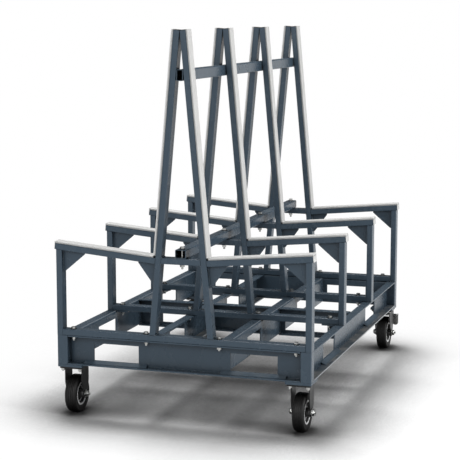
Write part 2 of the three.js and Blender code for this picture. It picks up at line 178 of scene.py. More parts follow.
# finishes: colours are linear, sizes in metres
plainFinish = {"metallic": 0.0, "shine": 0.5}
finishes = {
    "slateCoat": {
        "base": (0.043, 0.066, 0.091), "patch": (0.048, 0.073, 0.099), "patchScale": 8.0,
        "grain": 1400.0, "depth": 0.00006, "smooth": 0.22, "rough": 0.31, "shine": 0.25,
        "edge": (0.13, 0.16, 0.18), "edgeAmount": 0.35, "edgeRadius": 0.0022,
        # painted shade darkens the coat where parts stand close together
        "dust": (0.30, 0.29, 0.27), "dustAmount": 0.08, "paintedShadeReach": 0.12, "paintedShadeDepth": 0.7,
    },
    # painted highlight: a lighter, shinier coat laid on the rails' bends and edges
    "paintedHighlightCoat": {
        "base": (0.20, 0.22, 0.24), "patch": (0.14, 0.16, 0.18), "patchScale": 12.0,
        "grain": 1400.0, "depth": 0.00004, "smooth": 0.12, "rough": 0.24, "shine": 0.9,
        "edge": (0.35, 0.37, 0.39), "edgeAmount": 0.35, "edgeRadius": 0.0015,
        "dust": (0.30, 0.29, 0.27), "dustAmount": 0.02,
    },
    "palePad": {
        "base": (0.59, 0.59, 0.582), "patch": (0.54, 0.54, 0.532), "patchScale": 11.0,
        "grain": 500.0, "depth": 0.0001, "smooth": 0.45, "rough": 0.62,
        "edge": (0.62, 0.62, 0.61), "edgeAmount": 0.4, "edgeRadius": 0.0015,
        "dust": (0.45, 0.43, 0.40), "dustAmount": 0.16,
    },
    # painted shade: the carrier's grey shows only along the strips' sides
    "padCarrierPaintedShade": {
        "base": (0.42, 0.43, 0.43), "patch": (0.36, 0.37, 0.37), "patchScale": 12.0,
        "grain": 700.0, "depth": 0.00006, "smooth": 0.36, "rough": 0.5,
        "edge": (0.6, 0.6, 0.6), "edgeAmount": 0.3, "edgeRadius": 0.001,
        "dust": (0.4, 0.39, 0.37), "dustAmount": 0.1,
    },
    "plugBlack": {
        "base": (0.018, 0.019, 0.020), "patch": (0.026, 0.027, 0.028), "patchScale": 20.0,
        "grain": 900.0, "depth": 0.00008, "smooth": 0.42, "rough": 0.6,
        "edge": (0.07, 0.07, 0.07), "edgeAmount": 0.4, "edgeRadius": 0.001,
        "dust": (0.2, 0.19, 0.18), "dustAmount": 0.12,
    },
    "casterBlack": {
        "base": (0.009, 0.0095, 0.010), "patch": (0.013, 0.0135, 0.014), "patchScale": 25.0,
        "grain": 1100.0, "depth": 0.00005, "smooth": 0.28, "rough": 0.40, "shine": 0.25,
        "edge": (0.16, 0.16, 0.16), "edgeAmount": 0.35, "edgeRadius": 0.0012,
        "dust": (0.2, 0.19, 0.18), "dustAmount": 0.08,
    },
    "tyreRubber": {
        "base": (0.0115, 0.0115, 0.0118), "patch": (0.015, 0.0149, 0.0147), "patchScale": 30.0,
        "grain": 650.0, "depth": 0.00016, "smooth": 0.42, "rough": 0.60, "shine": 0.28,
        "edge": (0.04, 0.039, 0.037), "edgeAmount": 0.5, "edgeRadius": 0.003,
        # painted shade darkens the tyre towards the floor and under the fork
        "dust": (0.14, 0.13, 0.12), "dustAmount": 0.06, "paintedShadeReach": 0.15, "paintedShadeDepth": 2.0,
    },
    "zincPlate": {
        "base": (0.50, 0.51, 0.51), "patch": (0.38, 0.38, 0.36), "patchScale": 45.0,
        "grain": 420.0, "depth": 0.00003, "smooth": 0.2, "rough": 0.38, "metallic": 1.0,
        "edge": (0.75, 0.75, 0.74), "edgeAmount": 0.4, "edgeRadius": 0.0008,
        "dust": (0.3, 0.29, 0.27), "dustAmount": 0.05,
    },
    "weldBead": {
        "base": (0.058, 0.080, 0.100), "patch": (0.050, 0.068, 0.085), "patchScale": 30.0,
        "grain": 900.0, "depth": 0.00008, "smooth": 0.38, "rough": 0.52,
        "edge": (0.11, 0.13, 0.15), "edgeAmount": 0.3, "edgeRadius": 0.001,
        "dust": (0.2, 0.2, 0.19), "dustAmount": 0.06,
    },
}
finishes["scuffedCoat"] = dict(
    finishes["slateCoat"], smooth=0.55, rough=0.70, shine=0.15, dustAmount=0.25, paintedShadeDepth=0.2)
# heavy dust, also standing in as painted light that makes the tops of the rails' lower flanges lighter
finishes["dustAndPaintedLightCoat"] = dict(finishes["scuffedCoat"], dustAmount=0.95)


def placeGroup(tree, group, inputs):
    return addNode(tree, "ShaderNodeGroup", inputs, node_tree=group).outputs


def startMaterial(name):
    material = bpy.data.materials.new(name)
    material.use_nodes = True
    tree = material.node_tree
    coords = addNode(tree, "ShaderNodeTexCoord")
    return material, tree, tree.nodes["Principled BSDF"], coords.outputs["Object"]


def finishSurface(tree, shader, vector, look, colour=None, height=None):
    scales = {"Vector": vector, "Scale": look["grain"], "Patch Scale": look["patchScale"]}
    grain = placeGroup(tree, grainGroup, scales)
    wear = placeGroup(tree, wearGroup, {"Vector": vector, "Radius": look["edgeRadius"]})
    dust = placeGroup(tree, dustGroup, {"Vector": vector})
    if colour is None:
        patches = addRange(tree, grain["Patches"], *effects["patches"])
        colour = mixColour(tree, patches, look["base"], look["patch"])
    for group, kind in ((wear, "edge"), (dust, "dust")):
        amount = addMath(tree, "MULTIPLY", group["Mask"], look[kind + "Amount"])
        colour = mixColour(tree, amount, colour, look[kind])
    # painted shade: the colour goes towards black where other surfaces stand close
    if "paintedShadeReach" in look:
        paintedShade = placeGroup(tree, paintedShadeGroup, {"Reach": look["paintedShadeReach"], "Depth": look["paintedShadeDepth"]})
        colour = mixColour(tree, paintedShade["Mask"], (0.0, 0.0, 0.0), colour)
    relief = {"Strength": effects["bumpStrength"], "Distance": look["depth"]}
    relief["Height"] = grain["Height"] if height is None else height
    sockets = {
        "Base Color": colour,
        "Roughness": addRange(tree, grain["Patches"], *effects["patches"], look["smooth"], look["rough"]),
        "Normal": addNode(tree, "ShaderNodeBump", relief).outputs["Normal"],
        "Metallic": look["metallic"],
        "Specular IOR Level": look["shine"],
    }
    for label, value in sockets.items():
        feed(tree, shader.inputs[label], value)


def makeFinish(name):
    material, tree, shader, vector = startMaterial(name)
    finishSurface(tree, shader, vector, {**plainFinish, **finishes[name]})
    return material


# turned wheel centres: bright and dull bands as (radius, brightness), round each wheel's own axle, with the
# dull bands painted shade in the grooves and dish and the brightest bands painted highlights on the lip and
# ring
turnedRim = {
    "bands": ((0.002, 0.20), (0.018, 0.24), (0.020, 0.05), (0.0335, 0.06), (0.0340, 0.60), (0.0395, 0.65),
              (0.0400, 0.04), (0.0455, 0.05), (0.0460, 0.90), (0.0540, 0.95)),
    "bandReach": 0.056, "tint": (1.0, 1.01, 1.02),
    "ringScale": 900.0, "ringDetail": 3.0, "ringAmount": 0.25, "ringColour": (0.05, 0.05, 0.05),
    "patchScale": 40.0, "grain": 700.0, "depth": 0.00005, "smooth": 0.20, "rough": 0.36, "metallic": 0.35,
    "edge": (0.70, 0.70, 0.70), "edgeAmount": 0.25, "edgeRadius": 0.001,
    "dust": (0.25, 0.24, 0.22), "dustAmount": 0.05,
}


def makeRimMetalWithPaintedLight(name, centre):
    material, tree, shader, vector = startMaterial(name)
    offset = tuple(-value for value in centre)
    centred = addNode(tree, "ShaderNodeMapping", {"Vector": vector, "Location": offset}).outputs["Vector"]
    acrossAxle = {0: centred, 1: (0.0, 1.0, 1.0)}
    flat = addNode(tree, "ShaderNodeVectorMath", acrossAxle, operation="MULTIPLY").outputs["Vector"]
    radius = addNode(tree, "ShaderNodeVectorMath", {0: flat}, operation="LENGTH").outputs["Value"]
    reach = addMath(tree, "DIVIDE", radius, turnedRim["bandReach"])
    ramp = addNode(tree, "ShaderNodeValToRGB", {"Fac": reach})
    stops = ramp.color_ramp.elements
    for place, bright in turnedRim["bands"]:
        stop = stops.new(place / turnedRim["bandReach"])
        stop.color = (*(bright * part for part in turnedRim["tint"]), 1.0)
    stops.remove(stops[0])
    stops.remove(stops[-1])
    ringSizes = {"W": radius, "Scale": turnedRim["ringScale"], "Detail": turnedRim["ringDetail"]}
    rings = addNode(tree, "ShaderNodeTexNoise", ringSizes, noise_dimensions="1D").outputs["Fac"]
    fine = addMath(tree, "MULTIPLY", rings, turnedRim["ringAmount"])
    colour = mixColour(tree, fine, ramp.outputs["Color"], turnedRim["ringColour"])
    finishSurface(tree, shader, vector, {**plainFinish, **turnedRim}, colour, rings)
    return material


surface = {name: makeFinish(name) for name in finishes}
print("finishes made")

# mesh building
smoothAngle = math.radians(32.0)
sharpAngle = math.radians(75.0)
hairBore = 0.0004  # a turned solid keeps this thin a bore on its axis
alongX = Vector((1.0, 0.0, 0.0))
alongY = Vector((0.0, 1.0, 0.0))
alongZ = Vector((0.0, 0.0, 1.0))


def arc(a, b, radius, start, end, steps=4):
    turn = (end - start) / steps
    angles = [math.radians(start + turn * step) for step in range(steps + 1)]
    return [(a + radius * math.cos(angle), b + radius * math.sin(angle)) for angle in angles]


def roundedSection(width, height, radius, steps=4):
    points = []
    for signA, signB, start in ((1, 1, 0), (-1, 1, 90), (-1, -1, 180), (1, -1, 270)):
        a = signA * (width / 2 - radius)
        b = signB * (height / 2 - radius)
        points += arc(a, b, radius, start, start + 90, steps)
    return points


def joinRings(bm, first, second):
    count = len(first)
    for i in range(count):
        j = (i + 1) % count
        bm.faces.new((first[i], first[j], second[j], second[i]))


# a skin over a row of rings, closed at both ends
def addSkin(bm, rings):
    for first, second in zip(rings, rings[1:]):
        joinRings(bm, first, second)
    bm.faces.new(rings[0])
    bm.faces.new(rings[-1])


# a bar with any section, cut by a plane (point, normal) at each end, hollow where it has a bore
def addBar(bm, section, origin, axis, across, startCut, endCut, bore=None):
    axis = axis.normalized()
    other = axis.cross(across)

    def ring(points, cut):
        made = []
        for a, b in points:
            spot = origin + across * a + other * b
            reach = (cut[0] - spot).dot(cut[1]) / axis.dot(cut[1])
            made.append(bm.verts.new(spot + axis * reach))
        return made

    ends = [ring(section, cut) for cut in (startCut, endCut)]
    if bore is None:
        addSkin(bm, ends)
        return
    inner = [ring(bore, cut) for cut in (startCut, endCut)]
    joinRings(bm, *ends)
    joinRings(bm, *inner)
    joinRings(bm, ends[0], inner[0])
    joinRings(bm, ends[1], inner[1])


# a bar with square ends, from start to end along its axis as measured from origin
def addSquareBar(bm, section, origin, axis, across, start, end, bore=None):
    cuts = [(origin + axis * reach, axis) for reach in (start, end)]
    addBar(bm, section, origin, axis, across, *cuts, bore)


# a flat outline with a thickness, centred on its plane
def addPlate(bm, outline, direction, thick):
    step = direction * (thick / 2)
    addSkin(bm, [[bm.verts.new(point + step * sign) for point in outline] for sign in (-1, 1)])


# a closed (radius, along) profile turned about an axis through centre
def addTurned(bm, profile, centre, axis, segments):
    side = alongZ if axis == alongX else alongX
    other = axis.cross(side)
    rings = []
    for k in range(segments):
        angle = 2.0 * math.pi * (k + 0.5) / segments
        outward = side * math.cos(angle) + other * math.sin(angle)
        rings.append([bm.verts.new(centre + outward * r + axis * a) for r, a in profile])
    for k in range(segments):
        joinRings(bm, rings[k], rings[(k + 1) % segments])


# gives the faces made since a count their own place in the piece's list of finishes
def setFinish(bm, made, finishIndex):
    bm.faces.ensure_lookup_table()
    for face in bm.faces[made:]:
        face.material_index = finishIndex


def applyModifiers(piece):
    graph = bpy.context.evaluated_depsgraph_get()
    mesh = bpy.data.meshes.new_from_object(piece.evaluated_get(graph), depsgraph=graph)
    piece.modifiers.clear()
    old = piece.data
    piece.data = mesh
    bpy.data.meshes.remove(old)


def makePiece(name, bm, finishNames, edge, steps=2):
    bmesh.ops.recalc_face_normals(bm, faces=bm.faces)
    mesh = bpy.data.meshes.new(name)
    bm.to_mesh(mesh)
    bm.free()
    piece = bpy.data.objects.new(name, mesh)
    scene.collection.objects.link(piece)
    for finishName in finishNames:
        mesh.materials.append(surface[finishName])
    mesh.shade_smooth()
    mesh.set_sharp_from_angle(angle=sharpAngle)
    if edge:
        bevel = piece.modifiers.new("softEdge", "BEVEL")
        bevel.width = edge
        bevel.segments = steps
        bevel.limit_method = "ANGLE"
        bevel.angle_limit = smoothAngle
        bevel.use_clamp_overlap = True
    weighted = piece.modifiers.new("flatShading", "WEIGHTED_NORMAL")
    weighted.keep_sharp = True
    applyModifiers(piece)
    return piece


def settle(piece, body, slotName, *nodes):
    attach(piece, body)
    if nodes:
        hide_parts(*nodes)


def camelName(node):
    first, *rest = node.split("_")
    return first + "".join(word.capitalize() for word in rest)


# a piece that stands for one CAD node and has its name
def dressNode(node, bm, finishNames, edge, slotName, body="root"):
    settle(makePiece(camelName(node), bm, finishNames, edge), body, slotName, node)


# the rack: four cross frames, each a support frame and an A-frame of tube
rack = {
    "fit": 0.0003, "frameCount": 4, "tubeThin": 0.028, "tubeRound": 0.0035, "softEdge": 0.0006,
    "apexHeight": 1.757, "footSpread": 0.123, "beamReach": 0.606, "beamEndHeight": 0.798,
    "crossTubeHeight": 0.756, "plugFlange": 0.003,
    "outerGusset": (0.105, 0.098), "innerGusset": (0.086, 0.096), "gussetThick": 0.006, "gussetNip": 0.008,
}
thin = rack["tubeThin"]
frameBoxes = [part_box("support_frame_%d" % (i + 1)) for i in range(rack["frameCount"])]
tubeDeep = frameBoxes[0][1].y - frameBoxes[0][0].y
frameLines = [(low.y + high.y) / 2 for low, high in frameBoxes]
lowerTubeBottom = frameBoxes[0][0].z
lowerTubeTop = lowerTubeBottom + thin
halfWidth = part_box("front_right_leg")[1].x
postInside = halfWidth - thin
lean = math.atan2(rack["footSpread"], rack["apexHeight"] - lowerTubeTop)
leanCos = math.cos(lean)
leanSin = math.sin(lean)
uprightInner = rack["apexHeight"] * leanSin
uprightOuter = uprightInner + thin
uprightMiddle = (uprightInner + uprightOuter) / 2
uprightTop = rack["apexHeight"] * leanCos
beamStart = uprightOuter + rack["fit"]
beamEnd = rack["beamReach"] * leanCos + rack["beamEndHeight"] * leanSin
beamTop = rack["beamEndHeight"] * leanCos - rack["beamReach"] * leanSin
beamUnder = beamTop - thin
beamMiddle = (beamTop + beamUnder) / 2
tubeSection = roundedSection(tubeDeep, thin, rack["tubeRound"])
weldPaths = [[] for _ in frameLines]


# s runs outwards along a beam, t up along its upright
def leanPoint(side, s, t, y):
    return Vector((side * (s * leanCos - t * leanSin), y, s * leanSin + t * leanCos))


def outwards(side):
    return Vector((side * leanCos, 0.0, leanSin))


def upwards(side):
    return Vector((-side * leanSin, 0.0, leanCos))


# a bar along a beam or an upright, at a level across it and from start to end along it
def addLeanBar(bm, section, side, y, upright, level, start, end):
    if upright:
        origin = leanPoint(side, level, 0.0, y)
        axis = upwards(side)
        cuts = [(leanPoint(side, 0.0, reach, y), axis) for reach in (start, end)]
    else:
        origin = leanPoint(side, 0.0, level, y)
        axis = outwards(side)
        cuts = [(leanPoint(side, reach, 0.0, y), axis) for reach in (start, end)]
    addBar(bm, section, origin, axis, alongY, *cuts)


def addSupportFrame(index):
    y = frameLines[index]
    bm = bmesh.new()
    lowerTube = Vector((0.0, y, lowerTubeBottom + thin / 2))
    addSquareBar(bm, tubeSection, lowerTube, alongX, alongY, -postInside, postInside)
    footCut = (Vector((0.0, y, lowerTubeBottom)), alongZ)
    for side in (-1, 1):
        underCut = (leanPoint(side, beamEnd, beamUnder, y), upwards(side))
        post = Vector((side * (halfWidth - thin / 2), y, 0.0))
        addBar(bm, tubeSection, post, alongZ, alongY, footCut, underCut)
        addLeanBar(bm, tubeSection, side, y, False, beamMiddle, beamStart, beamEnd - rack["plugFlange"])
        addGussets(bm, index, side)
    node = "support_frame_%d" % (index + 1)
    dressNode(node, bm, ["slateCoat"], rack["softEdge"], "slate_powder_coat")


# one gusset under a beam at its post, one at its upright
def addGussets(bm, index, side):
    y = frameLines[index]
    inward = -outwards(side)
    reach, drop = rack["outerGusset"]
    corner = Vector((side * postInside, y, (beamUnder + postInside * leanSin) / leanCos))
    addGusset(bm, index, corner, corner + inward * reach, corner - alongZ * drop, inward, -alongZ)
    reach, drop = rack["innerGusset"]
    root = leanPoint(side, beamStart, beamUnder, y)
    tip = leanPoint(side, beamStart + reach, beamUnder, y)
    foot = leanPoint(side, beamStart, beamUnder - drop, y)
    addGusset(bm, index, root, tip, foot, outwards(side), -upwards(side))


# a plate with nipped tips, welded along both of its straight sides
def addGusset(bm, index, corner, tip, foot, along, down):
    nip = rack["gussetNip"]
    addPlate(bm, [corner, tip, tip + down * nip, foot + along * nip, foot], alongY, rack["gussetThick"])
    for sign in (-1, 1):
        face = alongY * (sign * rack["gussetThick"] / 2)
        weldPaths[index] += [(corner + face, tip + face), (corner + face, foot + face)]


def addAFrame(index):
    y = frameLines[index]
    bm = bmesh.new()
    footCut = (Vector((0.0, y, lowerTubeTop + rack["fit"])), alongZ)
    innerCuts = []
    for side in (-1, 1):
        topCut = (leanPoint(side, 0.0, uprightTop - rack["plugFlange"], y), upwards(side))
        line = leanPoint(side, uprightMiddle, 0.0, y)
        addBar(bm, tubeSection, line, upwards(side), alongY, footCut, topCut)
        innerCuts.append((leanPoint(side, uprightInner, 0.0, y), outwards(side)))
        addUprightWelds(index, side)
    crossTube = Vector((0.0, y, rack["crossTubeHeight"] - thin / 2))
    addBar(bm, tubeSection, crossTube, alongX, alongY, *innerCuts)
    node = "a_frame_%d" % (index + 1)
    dressNode(node, bm, ["slateCoat"], rack["softEdge"], "slate_powder_coat")


def insideFace(z):
    return (rack["apexHeight"] - z) * math.tan(lean)


# seams across an upright: under and over the cross tube, then inside and outside at the foot
def addUprightWelds(index, side):
    crossTop = rack["crossTubeHeight"]
    foot = lowerTubeTop + rack["fit"]
    seams = [(insideFace(z), z) for z in (crossTop - thin, crossTop, foot)]
    seams.append((insideFace(foot) + thin / leanCos, foot))
    for x, z in seams:
        front = Vector((side * x, frameLines[index] - tubeDeep / 2, z))
        weldPaths[index].append((front, front + alongY * tubeDeep))


for frameIndex in range(rack["frameCount"]):
    addSupportFrame(frameIndex)
    addAFrame(frameIndex)
print("cross frames made")

# rub strips: a pale pad on a thin grey carrier, with a groove between them; the carrier's grey is painted
# shade along the strip's sides
strip = {
    "thick": 0.010, "carrier": 0.0035, "carrierInset": 0.001, "groove": 0.0008, "grooveInset": 0.0025,
    "round": 0.0016, "depthPerRound": 2.2, "softEdge": 0.0005, "finishes": ("palePad", "padCarrierPaintedShade"),
}
stripUnder = beamTop + rack["fit"]
stripTop = stripUnder + strip["thick"]
stripStart = beamStart + strip["thick"] + rack["fit"]


def addStripLayers(bm, side, y, upright, low, start, end):
    carrierTop = low + strip["carrier"]
    padLow = carrierTop + strip["groove"]
    layers = (
        (low, carrierTop, strip["carrierInset"], "padCarrierPaintedShade"),
        (carrierTop, padLow, strip["grooveInset"], "padCarrierPaintedShade"),
        (padLow, low + strip["thick"], 0.0, "palePad"))
    for bottom, top, inset, finishName in layers:
        made = len(bm.faces)
        radius = min(strip["round"], (top - bottom) / strip["depthPerRound"])
        section = roundedSection(tubeDeep - 2 * inset, top - bottom, radius)
        addLeanBar(bm, section, side, y, upright, (bottom + top) / 2, start, end)
        setFinish(bm, made, strip["finishes"].index(finishName))


def addStrips(index):
    runs = (
        ("beam", False, stripUnder, stripStart, beamEnd),
        ("upright", True, beamStart, stripTop + rack["fit"], uprightTop))
    for side, label in ((-1, "left"), (1, "right")):
        for kind, upright, low, start, end in runs:
            bm = bmesh.new()
            addStripLayers(bm, side, frameLines[index], upright, low, start, end)
            node = "%s_%s_strip_%d" % (label, kind, index + 1)
            dressNode(node, bm, strip["finishes"], strip["softEdge"], "pale_plastic")


# moulded plugs in the open tube ends: pale on the beams, black on the uprights
plug = {"gap": 0.0006, "paleEdge": 0.0012, "blackEdge": 0.0010, "edgeSteps": 3}


def addPlugs(index):
    section = roundedSection(tubeDeep - plug["gap"], thin - plug["gap"], rack["tubeRound"])
    kinds = (
        ("beamPlugs", False, beamMiddle, beamEnd, "palePad", plug["paleEdge"], "pale_plastic"),
        ("uprightPlugs", True, uprightMiddle, uprightTop, "plugBlack", plug["blackEdge"], "black_rubber"))
    for name, upright, level, end, finishName, edge, slotName in kinds:
        bm = bmesh.new()
        for side in (-1, 1):
            start = end - rack["plugFlange"]
            addLeanBar(bm, section, side, frameLines[index], upright, level, start, end)
        piece = makePiece("%s%d" % (name, index + 1), bm, [finishName], edge, plug["edgeSteps"])
        settle(piece, "root", slotName)


for frameIndex in range(rack["frameCount"]):
    addStrips(frameIndex)
    addPlugs(frameIndex)
print("strips and plugs made")

# open tubes along the cart
longTube = {"wall": 0.003, "round": 0.005, "boreRound": 0.002, "softEdge": 0.0005}


def addLongTube(node):
    low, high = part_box(node)
    size = high - low
    wall = longTube["wall"]
    outer = roundedSection(size.x, size.z, longTube["round"])
    bore = roundedSection(size.x - 2 * wall, size.z - 2 * wall, longTube["boreRound"])
    bm = bmesh.new()
    addSquareBar(bm, outer, (low + high) / 2, alongY, alongX, -size.y / 2, size.y / 2, bore)
    dressNode(node, bm, ["slateCoat"], longTube["softEdge"], "slate_powder_coat")


addLongTube("ridge_tube")
addLongTube("spine_tube")

# the base: folded channels with fork pockets
base = {
    "sheet": 0.006, "flange": 0.048, "bend": 0.009, "softEdge": 0.0008, "paintedHighlightArc": (40.0, 70.0),
    "nearness": 1e-5,
    "pocketWidth": 0.217, "pocketSill": 0.019, "pocketHeight": 0.080,
    "forkSpacing": 0.654, "sideForkSpacing": 0.872,
    "rampSetback": 0.020, "rampOverhang": 0.043, "rampThick": 0.004, "rampNose": (0.001, 0.0015),
    "tabLength": 0.060, "coats": ("slateCoat", "paintedHighlightCoat", "scuffedCoat", "dustAndPaintedLightCoat"),
}
baseLow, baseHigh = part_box("front_channel")
channelHeight = baseHigh.z - baseLow.z
pocketTop = base["pocketSill"] + base["pocketHeight"]
bendCentre = base["flange"] - base["bend"]
webFront = base["flange"] - base["sheet"]


# C section in (outward depth, height), from the free edge of the lower flange round to the upper one
def channelSection():
    sheet = base["sheet"]
    flange = base["flange"]
    sill = base["pocketSill"]
    outerBend = base["bend"]
    innerBend = outerBend - sheet
    upperBend = channelHeight - outerBend
    points = [(0.0, 0.0)]
    points += arc(bendCentre, outerBend, outerBend, -90, 0)
    points += [(flange, sill), (flange, pocketTop)]
    points += arc(bendCentre, upperBend, outerBend, 0, 90)
    points += [(0.0, channelHeight), (0.0, channelHeight - sheet)]
    points += arc(bendCentre, upperBend, innerBend, 90, 0)
    points += [(webFront, pocketTop), (webFront, sill)]
    points += arc(bendCentre, outerBend, innerBend, 0, -90)
    points += [(0.0, sheet)]
    return points


# a channel's line is its start, its direction, and the way from its free edges to its web
def channelRing(bm, section, line, station):
    start, along, inward = line
    place = start + along * station
    return [bm.verts.new(place + inward * a + alongZ * b) for a, b in section]


def addChannel(bm, line, length, pockets, paintedHighlights=False):
    section = channelSection()
    count = len(section)
    half = base["pocketWidth"] / 2
    stations = sorted([0.0, length] + [p - half for p in pockets] + [p + half for p in pockets])
    rings = [channelRing(bm, section, line, station) for station in stations]
    edges = [(section[i], section[(i + 1) % count]) for i in range(count)]
    holeEdges = [i for i in range(count) if isPocketEdge(*edges[i])]
    coats = [base["coats"].index(coatAt(*edge) if paintedHighlights else "slateCoat") for edge in edges]
    for k in range(len(stations) - 1):
        middle = (stations[k] + stations[k + 1]) / 2
        atPocket = any(abs(middle - pocket) < half for pocket in pockets)
        for i in range(count):
            if atPocket and i in holeEdges:
                continue
            j = (i + 1) % count
            face = bm.faces.new((rings[k][i], rings[k][j], rings[k + 1][j], rings[k + 1][i]))
            face.material_index = coats[i]
        if atPocket:
            addReveal(bm, rings[k], rings[k + 1], holeEdges, count)
    bm.faces.new(rings[0])
    bm.faces.new(rings[-1])


def isNear(first, second):
    return abs(first - second) < base["nearness"]


def isPocketEdge(first, second):
    low, high = sorted((first[1], second[1]))
    return isNear(low, base["pocketSill"]) and isNear(high, pocketTop)


# the free edge of a rail's lower flange and the crest of its top bend, where a painted highlight is laid as
# a lighter, shinier coat
def isPaintedHighlightEdge(first, second):
    across = (first[0] + second[0]) / 2
    height = (first[1] + second[1]) / 2
    if across == 0.0 and height < base["sheet"]:
        return True
    outward = across - bendCentre
    upward = height - (channelHeight - base["bend"])
    onOuterBend = outward > 0.0 and math.hypot(outward, upward) > base["bend"] - base["sheet"] / 2
    low, high = base["paintedHighlightArc"]
    return onOuterBend and low < math.degrees(math.atan2(upward, outward)) < high


# a rail gets a painted highlight on its edges, and on top of its lower flange heavy dust that also paints
# the flange lighter
def coatAt(first, second):
    if isPaintedHighlightEdge(first, second):
        return "paintedHighlightCoat"
    onFlange = all(isNear(point[1], base["sheet"]) for point in (first, second))
    return "dustAndPaintedLightCoat" if onFlange else "slateCoat"


# the four faces inside a pocket's opening
def addReveal(bm, near, far, holeEdges, count):
    outerSill, innerTop = holeEdges
    outerTop = (outerSill + 1) % count
    innerSill = (innerTop + 1) % count
    bm.faces.new((near[outerSill], near[innerSill], far[innerSill], far[outerSill]))
    bm.faces.new((near[outerTop], near[innerTop], far[innerTop], far[outerTop]))
    for ring in (near, far):
        bm.faces.new((ring[outerSill], ring[outerTop], ring[innerTop], ring[innerSill]))


# sloping plate in front of a pocket's sill, with its foot on the lower flange, scuffed by fork tips
def addRamp(bm, line, pocket):
    made = len(bm.faces)
    half = base["pocketWidth"] / 2 + base["rampOverhang"]
    sheet = base["sheet"]
    foot = base["rampSetback"]
    thick = base["rampThick"]
    sill = base["pocketSill"]
    noseAcross, noseUp = base["rampNose"]
    section = [
        (foot, sheet), (foot + thick, sheet), (webFront, sill - thick), (webFront, sill),
        (foot + noseAcross, sheet + noseUp)]
    addSkin(bm, [channelRing(bm, section, line, station) for station in (pocket - half, pocket + half)])
    setFinish(bm, made, base["coats"].index("scuffedCoat"))


# flat tab behind a rail's top edge, under a cross frame
def addTab(bm, line, station):
    start, along, inward = line
    half = tubeDeep / 2
    near = base["flange"]
    far = near + base["tabLength"]
    level = start + alongZ * (channelHeight - base["sheet"] / 2)
    outline = ((-half, near), (half, near), (half, far), (-half, far))
    addPlate(bm, [level + along * (station + s) + inward * a for s, a in outline], alongZ, base["sheet"])


# a channel that fills its node's box, with pockets at offsets from the middle of the base
def addRail(node, inward, offsets, paintedHighlights=False, ramps=False, tabs=()):
    low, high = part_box(node)
    along = alongX if inward.y else alongY
    start = Vector((high.x if inward.x < 0.0 else low.x, high.y if inward.y < 0.0 else low.y, low.z))
    line = (start, along, inward)
    centre = Vector((0.0, (low.y + high.y) / 2, low.z))
    pockets = [(centre - start).dot(along) + offset for offset in offsets]
    bm = bmesh.new()
    addChannel(bm, line, (high - low).dot(along), pockets, paintedHighlights)
    if ramps:
        for pocket in pockets:
            addRamp(bm, line, pocket)
    for y in tabs:
        addTab(bm, line, y - low.y)
    dressNode(node, bm, base["coats"], base["softEdge"], "slate_powder_coat")


# the short channel between the inner rails, with its web alone reaching in to meet them
def addCopedChannel(node):
    low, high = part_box(node)
    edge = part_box("right_inner_rail")[0].x - rack["fit"]
    bm = bmesh.new()
    addChannel(bm, (Vector((-edge, low.y, low.z)), alongX, alongY), 2 * edge, [])
    webMiddle = high.y - base["sheet"] / 2
    bottom = low.z + base["bend"]
    top = low.z + channelHeight - base["bend"]
    outline = ((edge, bottom), (high.x, bottom), (high.x, top), (edge, top))
    for side in (-1, 1):
        addPlate(bm, [Vector((side * x, webMiddle, z)) for x, z in outline], alongY, base["sheet"])
    dressNode(node, bm, base["coats"], base["softEdge"], "slate_powder_coat")


forks = (-base["forkSpacing"] / 2, base["forkSpacing"] / 2)
sideForks = (-base["sideForkSpacing"] / 2, base["sideForkSpacing"] / 2)
tabLines = frameLines[1:-1]
addRail("front_channel", alongY, forks, ramps=True)
addRail("rear_channel", -alongY, forks, ramps=True)
addRail("left_rail", alongX, sideForks, paintedHighlights=True, ramps=True, tabs=tabLines)
addRail("right_rail", -alongX, sideForks, paintedHighlights=True, ramps=True, tabs=tabLines)
addRail("left_inner_rail", -alongX, sideForks, paintedHighlights=True)
addRail("right_inner_rail", alongX, sideForks, paintedHighlights=True)
addRail("left_middle_channel", alongY, forks[:1])
addRail("right_middle_channel", alongY, forks[1:])
addCopedChannel("centre_middle_channel")

# corner legs with foot plates
leg = {
    "side": 0.050, "round": 0.005, "plateSide": 0.120, "plateThick": 0.012, "plateRound": 0.004,
    "softEdge": 0.0008,
}
cornerNames = [(end, side) for end in ("front", "rear") for side in ("left", "right")]


def addLeg(end, side):
    node = "%s_%s_leg" % (end, side)
    low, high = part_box(node)
    signX = 1 if side == "right" else -1
    signY = 1 if end == "rear" else -1
    outerX = high.x if signX > 0 else low.x
    outerY = high.y if signY > 0 else low.y
    plateTop = low.z + leg["plateThick"] - rack["fit"]
    bm = bmesh.new()
    for size, radius, bottom, top in (
            (leg["side"], leg["round"], plateTop, high.z),
            (leg["plateSide"], leg["plateRound"], low.z, plateTop)):
        centre = Vector((outerX - signX * size / 2, outerY - signY * size / 2, 0.0))
        addSquareBar(bm, roundedSection(size, size, radius), centre, alongZ, alongX, bottom, top)
    dressNode(node, bm, ["slateCoat"], leg["softEdge"], "slate_powder_coat")


for end, side in cornerNames:
    addLeg(end, side)
print("base made")

# casters: mounting plates and pressed forks, with angles in degrees
caster = {
    "plateSide": 0.110, "plateThick": 0.008, "plateRound": 0.010, "plateSteps": 6, "plateEdge": 0.0008,
    "forkInside": 0.0385, "forkThick": 0.005, "forkBend": 0.010, "forkEdge": 0.0009,
    "endRadius": 0.020, "endStart": -84.0, "endSteps": 12, "legSteps": 6, "bendSteps": 5,
    "topHalf": 0.037, "straight": 0.070,
    "crownFront": 0.042, "crownTaper": 0.008, "earReach": 0.072, "earDrop": 0.030,
}
forkOutside = caster["forkInside"] + caster["forkThick"]


